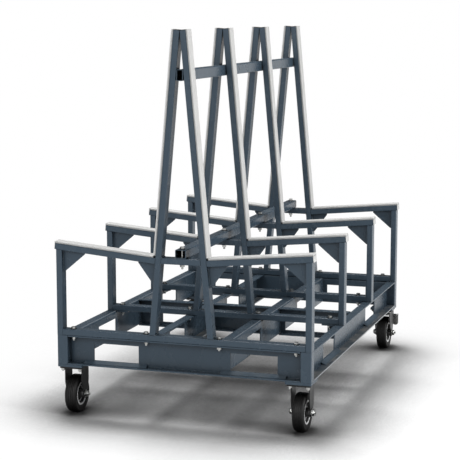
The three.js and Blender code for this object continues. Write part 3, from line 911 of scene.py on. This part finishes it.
# one band bent over the wheel, narrowing to a round end at the axle
def addFork(bm, centre, crownTop, axle, widths):
    thick = caster["forkThick"]
    bend = caster["forkBend"]
    radius = caster["endRadius"]
    middle = caster["forkInside"] + thick / 2
    bendLine = crownTop - thick / 2 - bend
    stations = []
    for step in range(caster["endSteps"]):
        angle = math.radians(caster["endStart"] * (1.0 - step / caster["endSteps"]))
        half = radius * math.cos(angle)
        stations.append((middle, axle.z + radius * math.sin(angle), 1.0, 0.0, axle.y - half, axle.y + half))
    for step in range(caster["legSteps"] + 1):
        z = axle.z + (bendLine - axle.z) * step / caster["legSteps"]
        stations.append((middle, z, 1.0, 0.0, *widthAt(widths, z, axle)))
    for step in range(1, caster["bendSteps"] + 1):
        angle = math.radians(90.0 * step / caster["bendSteps"])
        x = middle - bend + bend * math.cos(angle)
        z = bendLine + bend * math.sin(angle)
        stations.append((x, z, math.cos(angle), math.sin(angle), *widthAt(widths, z, axle)))
    whole = stations + [(-x, z, -nx, nz, low, high) for x, z, nx, nz, low, high in reversed(stations)]
    rings = []
    for x, z, nx, nz, low, high in whole:
        ring = []
        for reach, y in ((thick / 2, low), (thick / 2, high), (-thick / 2, high), (-thick / 2, low)):
            ring.append(bm.verts.new((centre.x + x + nx * reach, y, z + nz * reach)))
        rings.append(ring)
    addSkin(bm, rings)


# front and back edges of a fork leg at height z, between the listed heights
def widthAt(widths, z, axle):
    points = [(axle.z, axle.y - caster["endRadius"], axle.y + caster["endRadius"])] + widths
    for (z0, low0, high0), (z1, low1, high1) in zip(points, points[1:]):
        if z <= z1:
            share = (z - z0) / (z1 - z0)
            return low0 + (low1 - low0) * share, high0 + (high1 - high0) * share
    return points[-1][1:]


def addMountingPlate(bm, centre, top):
    side = caster["plateSide"]
    section = roundedSection(side, side, caster["plateRound"], caster["plateSteps"])
    addSquareBar(bm, section, centre, alongZ, alongX, top - caster["plateThick"], top)


def addFrontBracket(side, axle):
    node = "front_%s_bracket" % side
    low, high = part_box(node)
    centre = Vector(((low.x + high.x) / 2, (low.y + high.y) / 2, 0.0))
    bm = bmesh.new()
    addMountingPlate(bm, centre, high.z)
    plateUnder = high.z - caster["plateThick"]
    edges = (axle.y - caster["topHalf"], axle.y + caster["topHalf"])
    addFork(bm, centre, plateUnder, axle, [(plateUnder - caster["straight"], *edges), (plateUnder, *edges)])
    dressNode(node, bm, ["casterBlack"], caster["forkEdge"], "black_caster_steel")


# ball race and king pin under a rear plate
swivel = {
    "race": 0.038, "raceLip": 0.002, "raceSlope": (0.0025, 0.0015), "raceFoot": 0.004, "raceSegments": 64,
    "pin": 0.009, "pinSink": 0.001, "pinBore": 0.0005, "pinSegments": 32,
    "head": 0.014, "headHeight": 0.006, "headNip": (0.003, 0.0015),
}


def addSwivel(side, axle):
    plateNode = "rear_%s_swivel_plate" % side
    forkNode = "rear_%s_fork" % side
    low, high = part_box(plateNode)
    centre = Vector(((low.x + high.x) / 2, (low.y + high.y) / 2, 0.0))
    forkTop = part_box(forkNode)[1].z
    bm = bmesh.new()
    addMountingPlate(bm, centre, high.z)
    raceLow = forkTop + rack["fit"]
    plateUnder = high.z - caster["plateThick"]
    addTurned(bm, raceProfile(plateUnder, raceLow), centre, alongZ, swivel["raceSegments"])
    addTurned(bm, pinProfile(raceLow + swivel["pinSink"], low.z), centre, alongZ, swivel["pinSegments"])
    dressNode(plateNode, bm, ["casterBlack"], caster["plateEdge"], "black_caster_steel")
    front = centre.y - caster["crownFront"]
    back = centre.y + caster["earReach"]
    ear = (forkTop - caster["earDrop"], front + caster["crownTaper"], back)
    bm = bmesh.new()
    addFork(bm, centre, forkTop, axle, [ear, (forkTop, front, back)])
    body = "rear_%s_swivel" % side
    dressNode(forkNode, bm, ["casterBlack"], caster["forkEdge"], "black_caster_steel", body)


def raceProfile(top, bottom):
    race = swivel["race"]
    slopeIn, slopeUp = swivel["raceSlope"]
    return [
        (swivel["pin"], top), (race, top), (race, top - swivel["raceLip"]),
        (race - slopeIn, bottom + slopeUp), (race - swivel["raceFoot"], bottom), (swivel["pin"], bottom)]


def pinProfile(top, bottom):
    bore = swivel["pinBore"]
    pin = swivel["pin"]
    head = swivel["head"]
    headTop = bottom + swivel["headHeight"]
    nipIn, nipUp = swivel["headNip"]
    return [
        (bore, top), (pin, top), (pin, headTop), (head, headTop),
        (head, bottom + nipUp), (head - nipIn, bottom), (bore, bottom)]


# wheels, with the points of each profile in pairs
wheel = {
    "segments": 96, "rim": 0.054, "rimHalf": 0.024, "hub": 0.020, "hubEnd": 0.0382, "bore": 0.0063,
    "rimEdge": 0.0006,
    # share of the hub's radius, back from its end
    "hubFace": ((0.62, 0.0), (0.66, 0.0012), (0.78, 0.0012), (0.82, 0.0004), (0.97, 0.0008), (1.0, 0.003)),
    # beyond the hub, from the middle
    "hubFoot": ((0.001, 0.012), (0.004, 0.0072)),
    # inside the rim, from the middle
    "dish": ((0.0210, 0.0062), (0.0200, 0.0112), (0.0145, 0.0118), (0.0135, 0.0092), (0.0095, 0.0125)),
    # inside the rim, below its side
    "rimLip": ((0.0082, 0.0006), (0.0074, 0.0), (0.0, 0.0)),
    "radius": 0.0875, "tyreHalf": 0.027, "bead": 0.0543,
    # beyond the bead, below the tyre's side
    "tyreWall": ((0.0, 0.0030), (0.003, 0.0018), (0.006, 0.0016), (0.0072, 0.0006), (0.0096, 0.0005),
                 (0.0108, 0.0012)),
    "shoulder": 0.0085, "shoulderInset": (0.0005, 0.0006), "shoulderSteps": 8,
    "grooves": (0.0130, 0.0050), "grooveWidth": 0.0022, "grooveDepth": 0.0022,
}


def addWheel(end, side):
    prefix = "%s_%s" % (end, side)
    low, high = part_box(prefix + "_tyre")
    axle = (low + high) / 2
    rimMetalAndPaintedLight = camelName(prefix + "_rim_metal")
    surface[rimMetalAndPaintedLight] = makeRimMetalWithPaintedLight(rimMetalAndPaintedLight, axle)
    for kind, profile, finishName, edge, slotName in (
            ("rim", rimProfile(), rimMetalAndPaintedLight, wheel["rimEdge"], "cast_rim"),
            ("tyre", tyreProfile(), "tyreRubber", 0.0, "black_rubber")):
        bm = bmesh.new()
        addTurned(bm, profile, axle, alongX, wheel["segments"])
        dressNode("%s_%s" % (prefix, kind), bm, [finishName], edge, slotName, prefix + "_wheel")
    return axle


def bothSides(outside):
    return outside + [(radius, -along) for radius, along in reversed(outside)]


# dished wheel centre with turned steps, closed round its bore
def rimProfile():
    rim = wheel["rim"]
    hub = wheel["hub"]
    outside = [(wheel["bore"], wheel["hubEnd"])]
    outside += [(hub * share, wheel["hubEnd"] - back) for share, back in wheel["hubFace"]]
    outside += [(hub + beyond, along) for beyond, along in wheel["hubFoot"]]
    outside += [(rim - inset, along) for inset, along in wheel["dish"]]
    outside += [(rim - inset, wheel["rimHalf"] - below) for inset, below in wheel["rimLip"]]
    return bothSides(outside)


# rubber tyre: bead, moulded ridge on the wall, rounded shoulder and grooved crown
def tyreProfile():
    half = wheel["tyreHalf"]
    crown = wheel["radius"]
    outside = [(wheel["bead"] + beyond, half - below) for beyond, below in wheel["tyreWall"]]
    shoulder = wheel["shoulder"]
    sideInset, crownInset = wheel["shoulderInset"]
    shoulderAlong = half - sideInset - shoulder
    shoulderOut = crown - crownInset - shoulder
    turn = arc(shoulderAlong, shoulderOut, shoulder, 0, 90, wheel["shoulderSteps"])
    outside += [(radius, along) for along, radius in turn]
    width = wheel["grooveWidth"]
    floor = crown - wheel["grooveDepth"]
    for place in wheel["grooves"]:
        outside += [(crown, place + width), (crown, place + width / 2), (floor, place + width / 3)]
        outside += [(floor, place - width / 3), (crown, place - width / 2)]
    return bothSides(outside)


# axle bolt: domed hex head, nut with washers, threaded end
axleBolt = {
    "radius": 0.006, "hex": 0.0148, "head": 0.009, "nut": 0.012, "chamfer": 0.0012, "chamferShare": 0.93,
    "dome": 0.007, "domeShare": 0.84, "domeSteps": 8, "domeTurn": 12.5,
    "washer": 0.002, "washerRadius": 0.0185,
    "thread": 0.007, "pitch": 0.0012, "threadDepth": 0.0007, "tipNip": (0.0012, 0.0006),
    "segments": 32, "softEdge": 0.0003,
}


# a hexagon with chamfered ends, along x
def addHex(bm, centre, start, end):
    chamfer = axleBolt["chamfer"]
    tipShare = axleBolt["chamferShare"]
    rings = []
    for along, share in ((start, tipShare), (start + chamfer, 1.0), (end - chamfer, 1.0), (end, tipShare)):
        ring = []
        for k in range(6):
            angle = math.radians(60.0 * k)
            spoke = alongY * -math.cos(angle) + alongZ * -math.sin(angle)
            ring.append(bm.verts.new(centre + alongX * along + spoke * axleBolt["hex"] * share))
        rings.append(ring)
    addSkin(bm, rings)


def addAxle(end, side, axle):
    prefix = "%s_%s" % (end, side)
    radius = axleBolt["radius"]
    start = forkOutside + axleBolt["washer"]
    headEnd = start + axleBolt["head"]
    nutEnd = start + axleBolt["nut"]
    outer = axleBolt["washerRadius"]
    bm = bmesh.new()
    for sign in (-1, 1):
        near = sign * forkOutside
        far = sign * start
        washer = [(radius, near), (outer, near), (outer, far), (radius, far)]
        addTurned(bm, washer, axle, alongX, axleBolt["segments"])
    addHex(bm, axle, -headEnd, -start)
    addHex(bm, axle, start, nutEnd)
    for profile in (domeProfile(headEnd), shankProfile(start, nutEnd)):
        addTurned(bm, profile, axle, alongX, axleBolt["segments"])
    body = "root" if end == "front" else prefix + "_swivel"
    dressNode(prefix + "_axle", bm, ["zincPlate"], axleBolt["softEdge"], "zinc_steel", body)


def domeProfile(headEnd):
    radius = axleBolt["hex"] * axleBolt["domeShare"]
    dome = [(hairBore, -headEnd)]
    for step in range(axleBolt["domeSteps"]):
        angle = math.radians(axleBolt["domeTurn"] * step)
        dome.append((radius * math.cos(angle), -headEnd - axleBolt["dome"] * math.sin(angle)))
    return dome


def shankProfile(start, nutEnd):
    radius = axleBolt["radius"]
    pitch = axleBolt["pitch"]
    shank = [(hairBore, -start), (radius, -start), (radius, nutEnd)]
    along = nutEnd
    while along < nutEnd + axleBolt["thread"] - pitch:
        shank.append((radius - axleBolt["threadDepth"], along + pitch / 2))
        shank.append((radius, along + pitch))
        along += pitch
    nipIn, nipOut = axleBolt["tipNip"]
    return shank + [(radius - nipIn, along + nipOut), (hairBore, along + nipOut)]


# brake pedal: hub on its pin, arm down to a cross bar, a paddle on each side of the fork, shoe by the tyre
pedal = {
    "hub": 0.007, "pin": 0.004, "segments": 32, "softEdge": 0.0009, "thick": 0.005,
    "length": 0.046, "drop": 0.022, "armHalf": 0.022, "armBend": (0.004, 0.0026), "armLap": 0.002,
    "barDepth": 0.012, "barRound": 0.0016, "reach": 0.064,
    "paddleWidth": 0.032, "paddleDrop": 0.062, "paddleLap": 0.001, "paddleSteps": 20,
    "ribs": 4, "ribHigh": 0.0018, "ribSink": 0.001, "ribDeep": 0.003, "ribRound": 0.0008,
    "ribShare": 0.7, "ribStart": 0.3,
    "shoeBack": 0.004, "shoeLength": 0.012, "shoeHalf": 0.015, "shoeDrop": 0.021, "shoeRound": 0.002,
}
barTop = pedal["hub"] - pedal["drop"]
barMiddle = pedal["length"] - pedal["barDepth"] / 2


def addPedal(side):
    node = "rear_%s_brake_pedal" % side
    low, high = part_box(node)
    pivot = Vector(((low.x + high.x) / 2, high.y - pedal["length"], high.z - pedal["hub"]))
    bm = bmesh.new()
    hubEnd = caster["forkInside"] - rack["fit"]
    for radius, reach in ((pedal["hub"], hubEnd), (pedal["pin"], forkOutside)):
        profile = [(hairBore, -reach), (radius, -reach), (radius, reach), (hairBore, reach)]
        addTurned(bm, profile, pivot, alongX, pedal["segments"])
    addPedalArm(bm, pivot)
    for sign in (-1, 1):
        addPaddle(bm, pivot, sign)
    shoeMiddle = pivot + alongY * (pedal["shoeBack"] + pedal["shoeLength"] / 2)
    shoe = roundedSection(2 * pedal["shoeHalf"], pedal["shoeLength"], pedal["shoeRound"])
    addSquareBar(bm, shoe, shoeMiddle, alongZ, alongX, -pedal["shoeDrop"], -pedal["thick"])
    dressNode(node, bm, ["zincPlate"], pedal["softEdge"], "zinc_steel", "rear_%s_brake" % side)


# bent arm from the hub to the cross bar, and the bar itself
def addPedalArm(bm, pivot):
    thick = pedal["thick"]
    barFront = pedal["length"] - pedal["barDepth"]
    bendBack, bendUp = pedal["armBend"]
    upper = [
        (0.0, pedal["hub"]), (barFront - bendBack, barTop + bendUp), (barFront, barTop),
        (barFront + pedal["armLap"], barTop)]
    lower = [(y, z - thick) for y, z in reversed(upper)]
    addPlate(bm, [pivot + Vector((0.0, y, z)) for y, z in upper + lower], alongX, 2 * pedal["armHalf"])
    middle = pivot + Vector((0.0, barMiddle, barTop - thick / 2))
    bar = roundedSection(pedal["barDepth"], thick, pedal["barRound"])
    addSquareBar(bm, bar, middle, alongX, alongY, -pedal["reach"], pedal["reach"])


# paddle with a round lower end and ribs across its back
def addPaddle(bm, pivot, sign):
    radius = pedal["paddleWidth"] / 2
    middle = pivot + Vector((sign * (pedal["reach"] - radius), barMiddle, 0.0))
    top = barTop - pedal["paddleLap"]
    end = barTop - pedal["paddleDrop"] + radius
    outline = [(-radius, top)] + arc(0.0, end, radius, 180, 360, pedal["paddleSteps"]) + [(radius, top)]
    addPlate(bm, [middle + Vector((x, 0.0, z)) for x, z in outline], alongY, pedal["thick"])
    section = roundedSection(pedal["ribHigh"] + pedal["ribSink"], pedal["ribDeep"], pedal["ribRound"])
    half = radius * pedal["ribShare"]
    for rib in range(pedal["ribs"]):
        z = end - radius * pedal["ribStart"] + (top - end) * rib / pedal["ribs"]
        place = middle + Vector((0.0, (pedal["thick"] + pedal["ribHigh"]) / 2, z))
        addSquareBar(bm, section, place, alongX, alongY, -half, half)


wheelAxles = {}
for end, side in cornerNames:
    wheelAxles[end, side] = addWheel(end, side)
    addAxle(end, side, wheelAxles[end, side])
for side in ("left", "right"):
    addFrontBracket(side, wheelAxles["front", side])
    addSwivel(side, wheelAxles["rear", side])
    addPedal(side)
print("casters made")

# hex bolts placed on points by geometry nodes: head above, washers, shank, nut below
boltSizes = {
    "Hex Radius": 0.0105, "Head Height": 0.008, "Nut Height": 0.0095, "Washer Radius": 0.0138,
    "Washer Thick": 0.0024, "Shank Radius": 0.005, "Grip": 0.034, "Thread Out": 0.006,
}
boltSides = {"Hex Radius": 6, "Washer Radius": 24, "Shank Radius": 16}


def makeBoltTree():
    inputs = [("Geometry", "Geometry", None)]
    inputs += [(label, "Float", value) for label, value in boltSizes.items()]
    inputs += [(label, "Material", None) for label in ("Finish", "Washer Finish And Painted Shade")]
    tree, size, outside = newGroup("hexBolts", "GeometryNodeTree", inputs, [("Geometry", "Geometry")])
    join = addNode(tree, "GeometryNodeJoinGeometry")
    washer = size["Washer Thick"]
    nutSeat = addMath(tree, "MULTIPLY", addMath(tree, "ADD", size["Grip"], washer), -1.0)
    nutEnd = addMath(tree, "SUBTRACT", nutSeat, size["Nut Height"])
    shankEnd = addMath(tree, "SUBTRACT", nutEnd, size["Thread Out"])
    headEnd = addMath(tree, "ADD", washer, size["Head Height"])
    gripEnd = addMath(tree, "MULTIPLY", size["Grip"], -1.0)
    for radius, low, high, finish in (
            ("Hex Radius", washer, headEnd, "Finish"),
            ("Hex Radius", nutEnd, nutSeat, "Finish"),
            ("Washer Radius", 0.0, washer, "Washer Finish And Painted Shade"),
            ("Washer Radius", nutSeat, gripEnd, "Washer Finish And Painted Shade"),
            ("Shank Radius", shankEnd, 0.0, "Finish")):
        depth = addMath(tree, "SUBTRACT", high, low)
        middle = addMath(tree, "MULTIPLY", addMath(tree, "ADD", high, low), 0.5)
        rodSizes = {"Vertices": boltSides[radius], "Radius": size[radius], "Depth": depth}
        rod = addNode(tree, "GeometryNodeMeshCylinder", rodSizes).outputs["Mesh"]
        place = addNode(tree, "ShaderNodeCombineXYZ", {"Z": middle}).outputs[0]
        moved = addNode(tree, "GeometryNodeTransform", {"Geometry": rod, "Translation": place}).outputs[0]
        paint = addNode(tree, "GeometryNodeSetMaterial", {"Geometry": moved, "Material": size[finish]})
        feed(tree, join.inputs[0], paint.outputs[0])
    spin = addNode(tree, "FunctionNodeRandomValue", {"Seed": 7, 3: math.tau}, data_type="FLOAT").outputs[1]
    turn = addNode(tree, "ShaderNodeCombineXYZ", {"Z": spin}).outputs[0]
    copies = {"Points": size["Geometry"], "Instance": join.outputs[0], "Rotation": turn}
    placed = addNode(tree, "GeometryNodeInstanceOnPoints", copies).outputs[0]
    feed(tree, outside[0], addNode(tree, "GeometryNodeRealizeInstances", {0: placed}).outputs[0])
    return tree


def runTree(name, tree, mesh, values, slotName):
    piece = bpy.data.objects.new(name, mesh)
    scene.collection.objects.link(piece)
    modifier = piece.modifiers.new("nodes", "NODES")
    modifier.node_group = tree
    for item in tree.interface.items_tree:
        if item.in_out == "INPUT" and item.name in values:
            modifier[item.identifier] = values[item.name]
    applyModifiers(piece)
    piece.data.shade_smooth()
    piece.data.set_sharp_from_angle(angle=smoothAngle)
    settle(piece, "root", slotName)


boltTree = makeBoltTree()
bolts = {
    "frameX": (0.527, 0.173), "fromCentre": -0.004, "frameThread": 0.007, "spineThread": 0.010,
    "plateReach": 0.042, "plateSink": 0.0012, "insideFork": 0.027, "plateThread": 0.004,
    "swivelThread": 0.0002, "swivelNut": 0.0045,
}
flangeUnder = baseHigh.z - base["sheet"]
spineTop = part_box("spine_tube")[1].z
crossUnder = rack["crossTubeHeight"] - thin
framePoints = []
for y in frameLines:
    for x in bolts["frameX"]:
        framePoints += [(side * x, y + bolts["fromCentre"], lowerTubeTop) for side in (-1, 1)]
spinePoints = [(0.0, y, spineTop) for y in frameLines]
frontPoints = []
crownPoints = []
swivelPoints = []
reach = bolts["plateReach"]
for side in ("left", "right"):
    frontLow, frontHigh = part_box("front_%s_bracket" % side)
    rearLow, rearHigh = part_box("rear_%s_swivel_plate" % side)
    front = (frontLow + frontHigh) / 2
    rear = (rearLow + rearHigh) / 2
    top = frontHigh.z - bolts["plateSink"]
    for signX in (-1, 1):
        frontPoints.append((front.x + signX * reach, front.y - reach, top))
        crownPoints.append((front.x + signX * bolts["insideFork"], front.y + reach, top))
        swivelPoints += [(rear.x + signX * reach, rear.y + signY * reach, top) for signY in (-1, 1)]
# the frame and spine bolts' washers are black, painted shade for the dark ring round their heads and nuts
frameBoltPaintedShadeWashers = {"Finish": surface["zincPlate"], "Washer Finish And Painted Shade": surface["casterBlack"]}
plateBolt = {
    "Finish": surface["zincPlate"], "Washer Finish And Painted Shade": surface["zincPlate"], "Head Height": 0.0005,
    "Washer Thick": 0.0012, "Hex Radius": 0.0085, "Washer Radius": 0.011,
}
plateGrip = caster["plateThick"] - bolts["plateSink"]
crownGrip = plateGrip + caster["forkThick"]
swivelSizes = {"Grip": plateGrip, "Thread Out": bolts["swivelThread"], "Nut Height": bolts["swivelNut"]}
for name, points, kind, sizes in (
        ("frameBolts", framePoints, frameBoltPaintedShadeWashers,
         {"Grip": lowerTubeTop - flangeUnder, "Thread Out": bolts["frameThread"]}),
        ("spineBolts", spinePoints, frameBoltPaintedShadeWashers,
         {"Grip": spineTop - crossUnder, "Thread Out": bolts["spineThread"]}),
        ("frontPlateBolts", frontPoints, plateBolt, {"Grip": plateGrip, "Thread Out": bolts["plateThread"]}),
        ("forkCrownBolts", crownPoints, plateBolt, {"Grip": crownGrip, "Thread Out": bolts["plateThread"]}),
        ("swivelPlateBolts", swivelPoints, plateBolt, swivelSizes)):
    pointMesh = bpy.data.meshes.new(name)
    pointMesh.from_pydata(points, [], [])
    runTree(name, boltTree, pointMesh, {**kind, **sizes}, "zinc_steel")
print("bolts placed")

# weld beads: small overlapping drops along each joint
weld = {"beadRadius": 0.0022, "step": 0.0024, "segments": 7, "rings": 4, "sizes": (0.85, 1.12), "seed": 3}


def makeWeldTree():
    inputs = [
        ("Geometry", "Geometry", None), ("Bead Radius", "Float", weld["beadRadius"]),
        ("Step", "Float", weld["step"]), ("Finish", "Material", None)]
    tree, inside, outside = newGroup("weldBeads", "GeometryNodeTree", inputs, [("Geometry", "Geometry")])
    curve = addNode(tree, "GeometryNodeMeshToCurve", {0: inside["Geometry"]}).outputs[0]
    spacing = {"Curve": curve, "Length": inside["Step"]}
    spaced = addNode(tree, "GeometryNodeCurveToPoints", spacing, mode="LENGTH").outputs["Points"]
    dropSizes = {"Segments": weld["segments"], "Rings": weld["rings"], "Radius": inside["Bead Radius"]}
    drop = addNode(tree, "GeometryNodeMeshUVSphere", dropSizes).outputs["Mesh"]
    smallest, largest = weld["sizes"]
    draw = {2: smallest, 3: largest, "Seed": weld["seed"]}
    size = addNode(tree, "FunctionNodeRandomValue", draw, data_type="FLOAT").outputs[1]
    copies = {"Points": spaced, "Instance": drop, "Scale": size}
    drops = addNode(tree, "GeometryNodeInstanceOnPoints", copies).outputs[0]
    real = addNode(tree, "GeometryNodeRealizeInstances", {0: drops}).outputs[0]
    paint = addNode(tree, "GeometryNodeSetMaterial", {"Geometry": real, "Material": inside["Finish"]})
    feed(tree, outside[0], paint.outputs[0])
    return tree


weldTree = makeWeldTree()
for frameIndex, paths in enumerate(weldPaths):
    mesh = bpy.data.meshes.new("weldPaths")
    ends = [tuple(point) for path in paths for point in path]
    mesh.from_pydata(ends, [(2 * k, 2 * k + 1) for k in range(len(paths))], [])
    name = "weldBeads%d" % (frameIndex + 1)
    runTree(name, weldTree, mesh, {"Finish": surface["weldBead"]}, "slate_powder_coat")
print("welds laid")

# floor, backdrop light and lamps: a painted shadow term is (reach, depth), a lamp is (place, size, power)
studio = {
    "floorSize": 60.0, "floorColour": (0.92, 0.92, 0.92), "floorRough": 0.9, "floorShine": 0.1,
    "paintedShadowColour": (0.05, 0.05, 0.05), "paintedShadowTerms": ((1.0, 1.5), (0.45, 4.2), (0.05, 1.5)),
    "paintedShadowSamples": 16, "fadeStart": 0.65, "fadeEnd": 1.75, "fadeCentre": (0.35, -0.6, 0.0),
    "sky": 0.30, "aboveWall": 0.06, "wallStart": 0.02, "wallEnd": 0.10, "aim": (0.0, 0.0, 0.6),
    "lamps": {
        "backLamp": ((-1.1, 1.2, 6.0), 2.0, 250.0),
        "sideLamp": ((7.4, -1.4, 4.4), 2.6, 450.0),
        "frontLamp": ((-1.0, -7.4, 3.8), 3.0, 190.0),
    },
}


def seenDirectly(tree):
    light = addNode(tree, "ShaderNodeLightPath").outputs
    first = addMath(tree, "MAXIMUM", light["Is Camera Ray"], light["Is Glossy Ray"])
    return addMath(tree, "MAXIMUM", first, light["Is Transmission Ray"])


# white near the horizon and dim above it where it is seen, an even sky where it lights
def makeWorld():
    world = bpy.data.worlds.new("studio")
    scene.world = world
    world.use_nodes = True
    tree = world.node_tree
    coords = addNode(tree, "ShaderNodeTexCoord").outputs["Generated"]
    height = addNode(tree, "ShaderNodeSeparateXYZ", {0: coords}).outputs["Z"]
    wallEnds = (studio["wallStart"], studio["wallEnd"])
    wall = addRange(tree, height, *wallEnds, 1.0, studio["aboveWall"], "SMOOTHSTEP")
    background = tree.nodes["Background"].inputs
    background["Color"].default_value = (1.0, 1.0, 1.0, 1.0)
    feed(tree, background["Strength"], addRange(tree, seenDirectly(tree), 0.0, 1.0, studio["sky"], wall))


# pale floor with painted shadow, darker close to the cart, that fades to plain white away from it where it
# is open
def makeFloor():
    mesh = bpy.data.meshes.new("floor")
    half = studio["floorSize"] / 2
    points = [(-half, -half, 0), (half, -half, 0), (half, half, 0), (-half, half, 0)]
    mesh.from_pydata(points, [], [(0, 1, 2, 3)])
    floor = bpy.data.objects.new("floor", mesh)
    scene.collection.objects.link(floor)
    material, tree, shader, vector = startMaterial("floorPale")
    # painted shadow: each term darkens the floor's colour towards the shadow colour where the cart stands
    # close over it
    lightness = 1.0
    for reach, depth in studio["paintedShadowTerms"]:
        distance = {"Distance": reach}
        near = addNode(tree, "ShaderNodeAmbientOcclusion", distance, samples=studio["paintedShadowSamples"])
        openness = addMath(tree, "POWER", near.outputs["AO"], depth)
        lightness = addMath(tree, "MULTIPLY", openness, lightness)
    colour = mixColour(tree, lightness, studio["paintedShadowColour"], studio["floorColour"])
    feed(tree, shader.inputs["Base Color"], colour)
    feed(tree, shader.inputs["Roughness"], studio["floorRough"])
    feed(tree, shader.inputs["Specular IOR Level"], studio["floorShine"])
    fromCentre = {0: vector, 1: studio["fadeCentre"]}
    away = addNode(tree, "ShaderNodeVectorMath", fromCentre, operation="DISTANCE").outputs["Value"]
    fade = addRange(tree, away, studio["fadeStart"], studio["fadeEnd"], kind="SMOOTHSTEP")
    paleness = addMath(tree, "MULTIPLY", fade, lightness)
    amount = addMath(tree, "MULTIPLY", paleness, seenDirectly(tree))
    white = addNode(tree, "ShaderNodeEmission").outputs[0]
    mix = addNode(tree, "ShaderNodeMixShader", {0: amount, 1: shader.outputs[0], 2: white})
    feed(tree, tree.nodes["Material Output"].inputs["Surface"], mix.outputs[0])
    mesh.materials.append(material)


def makeLamps():
    aim = Vector(studio["aim"])
    for name, (place, size, power) in studio["lamps"].items():
        data = bpy.data.lights.new(name, "AREA")
        data.size = size
        data.energy = power
        lamp = bpy.data.objects.new(name, data)
        lamp.location = place
        lamp.rotation_euler = (aim - Vector(place)).to_track_quat("-Z", "Y").to_euler()
        scene.collection.objects.link(lamp)


makeWorld()
makeFloor()
makeLamps()
print("studio lit")
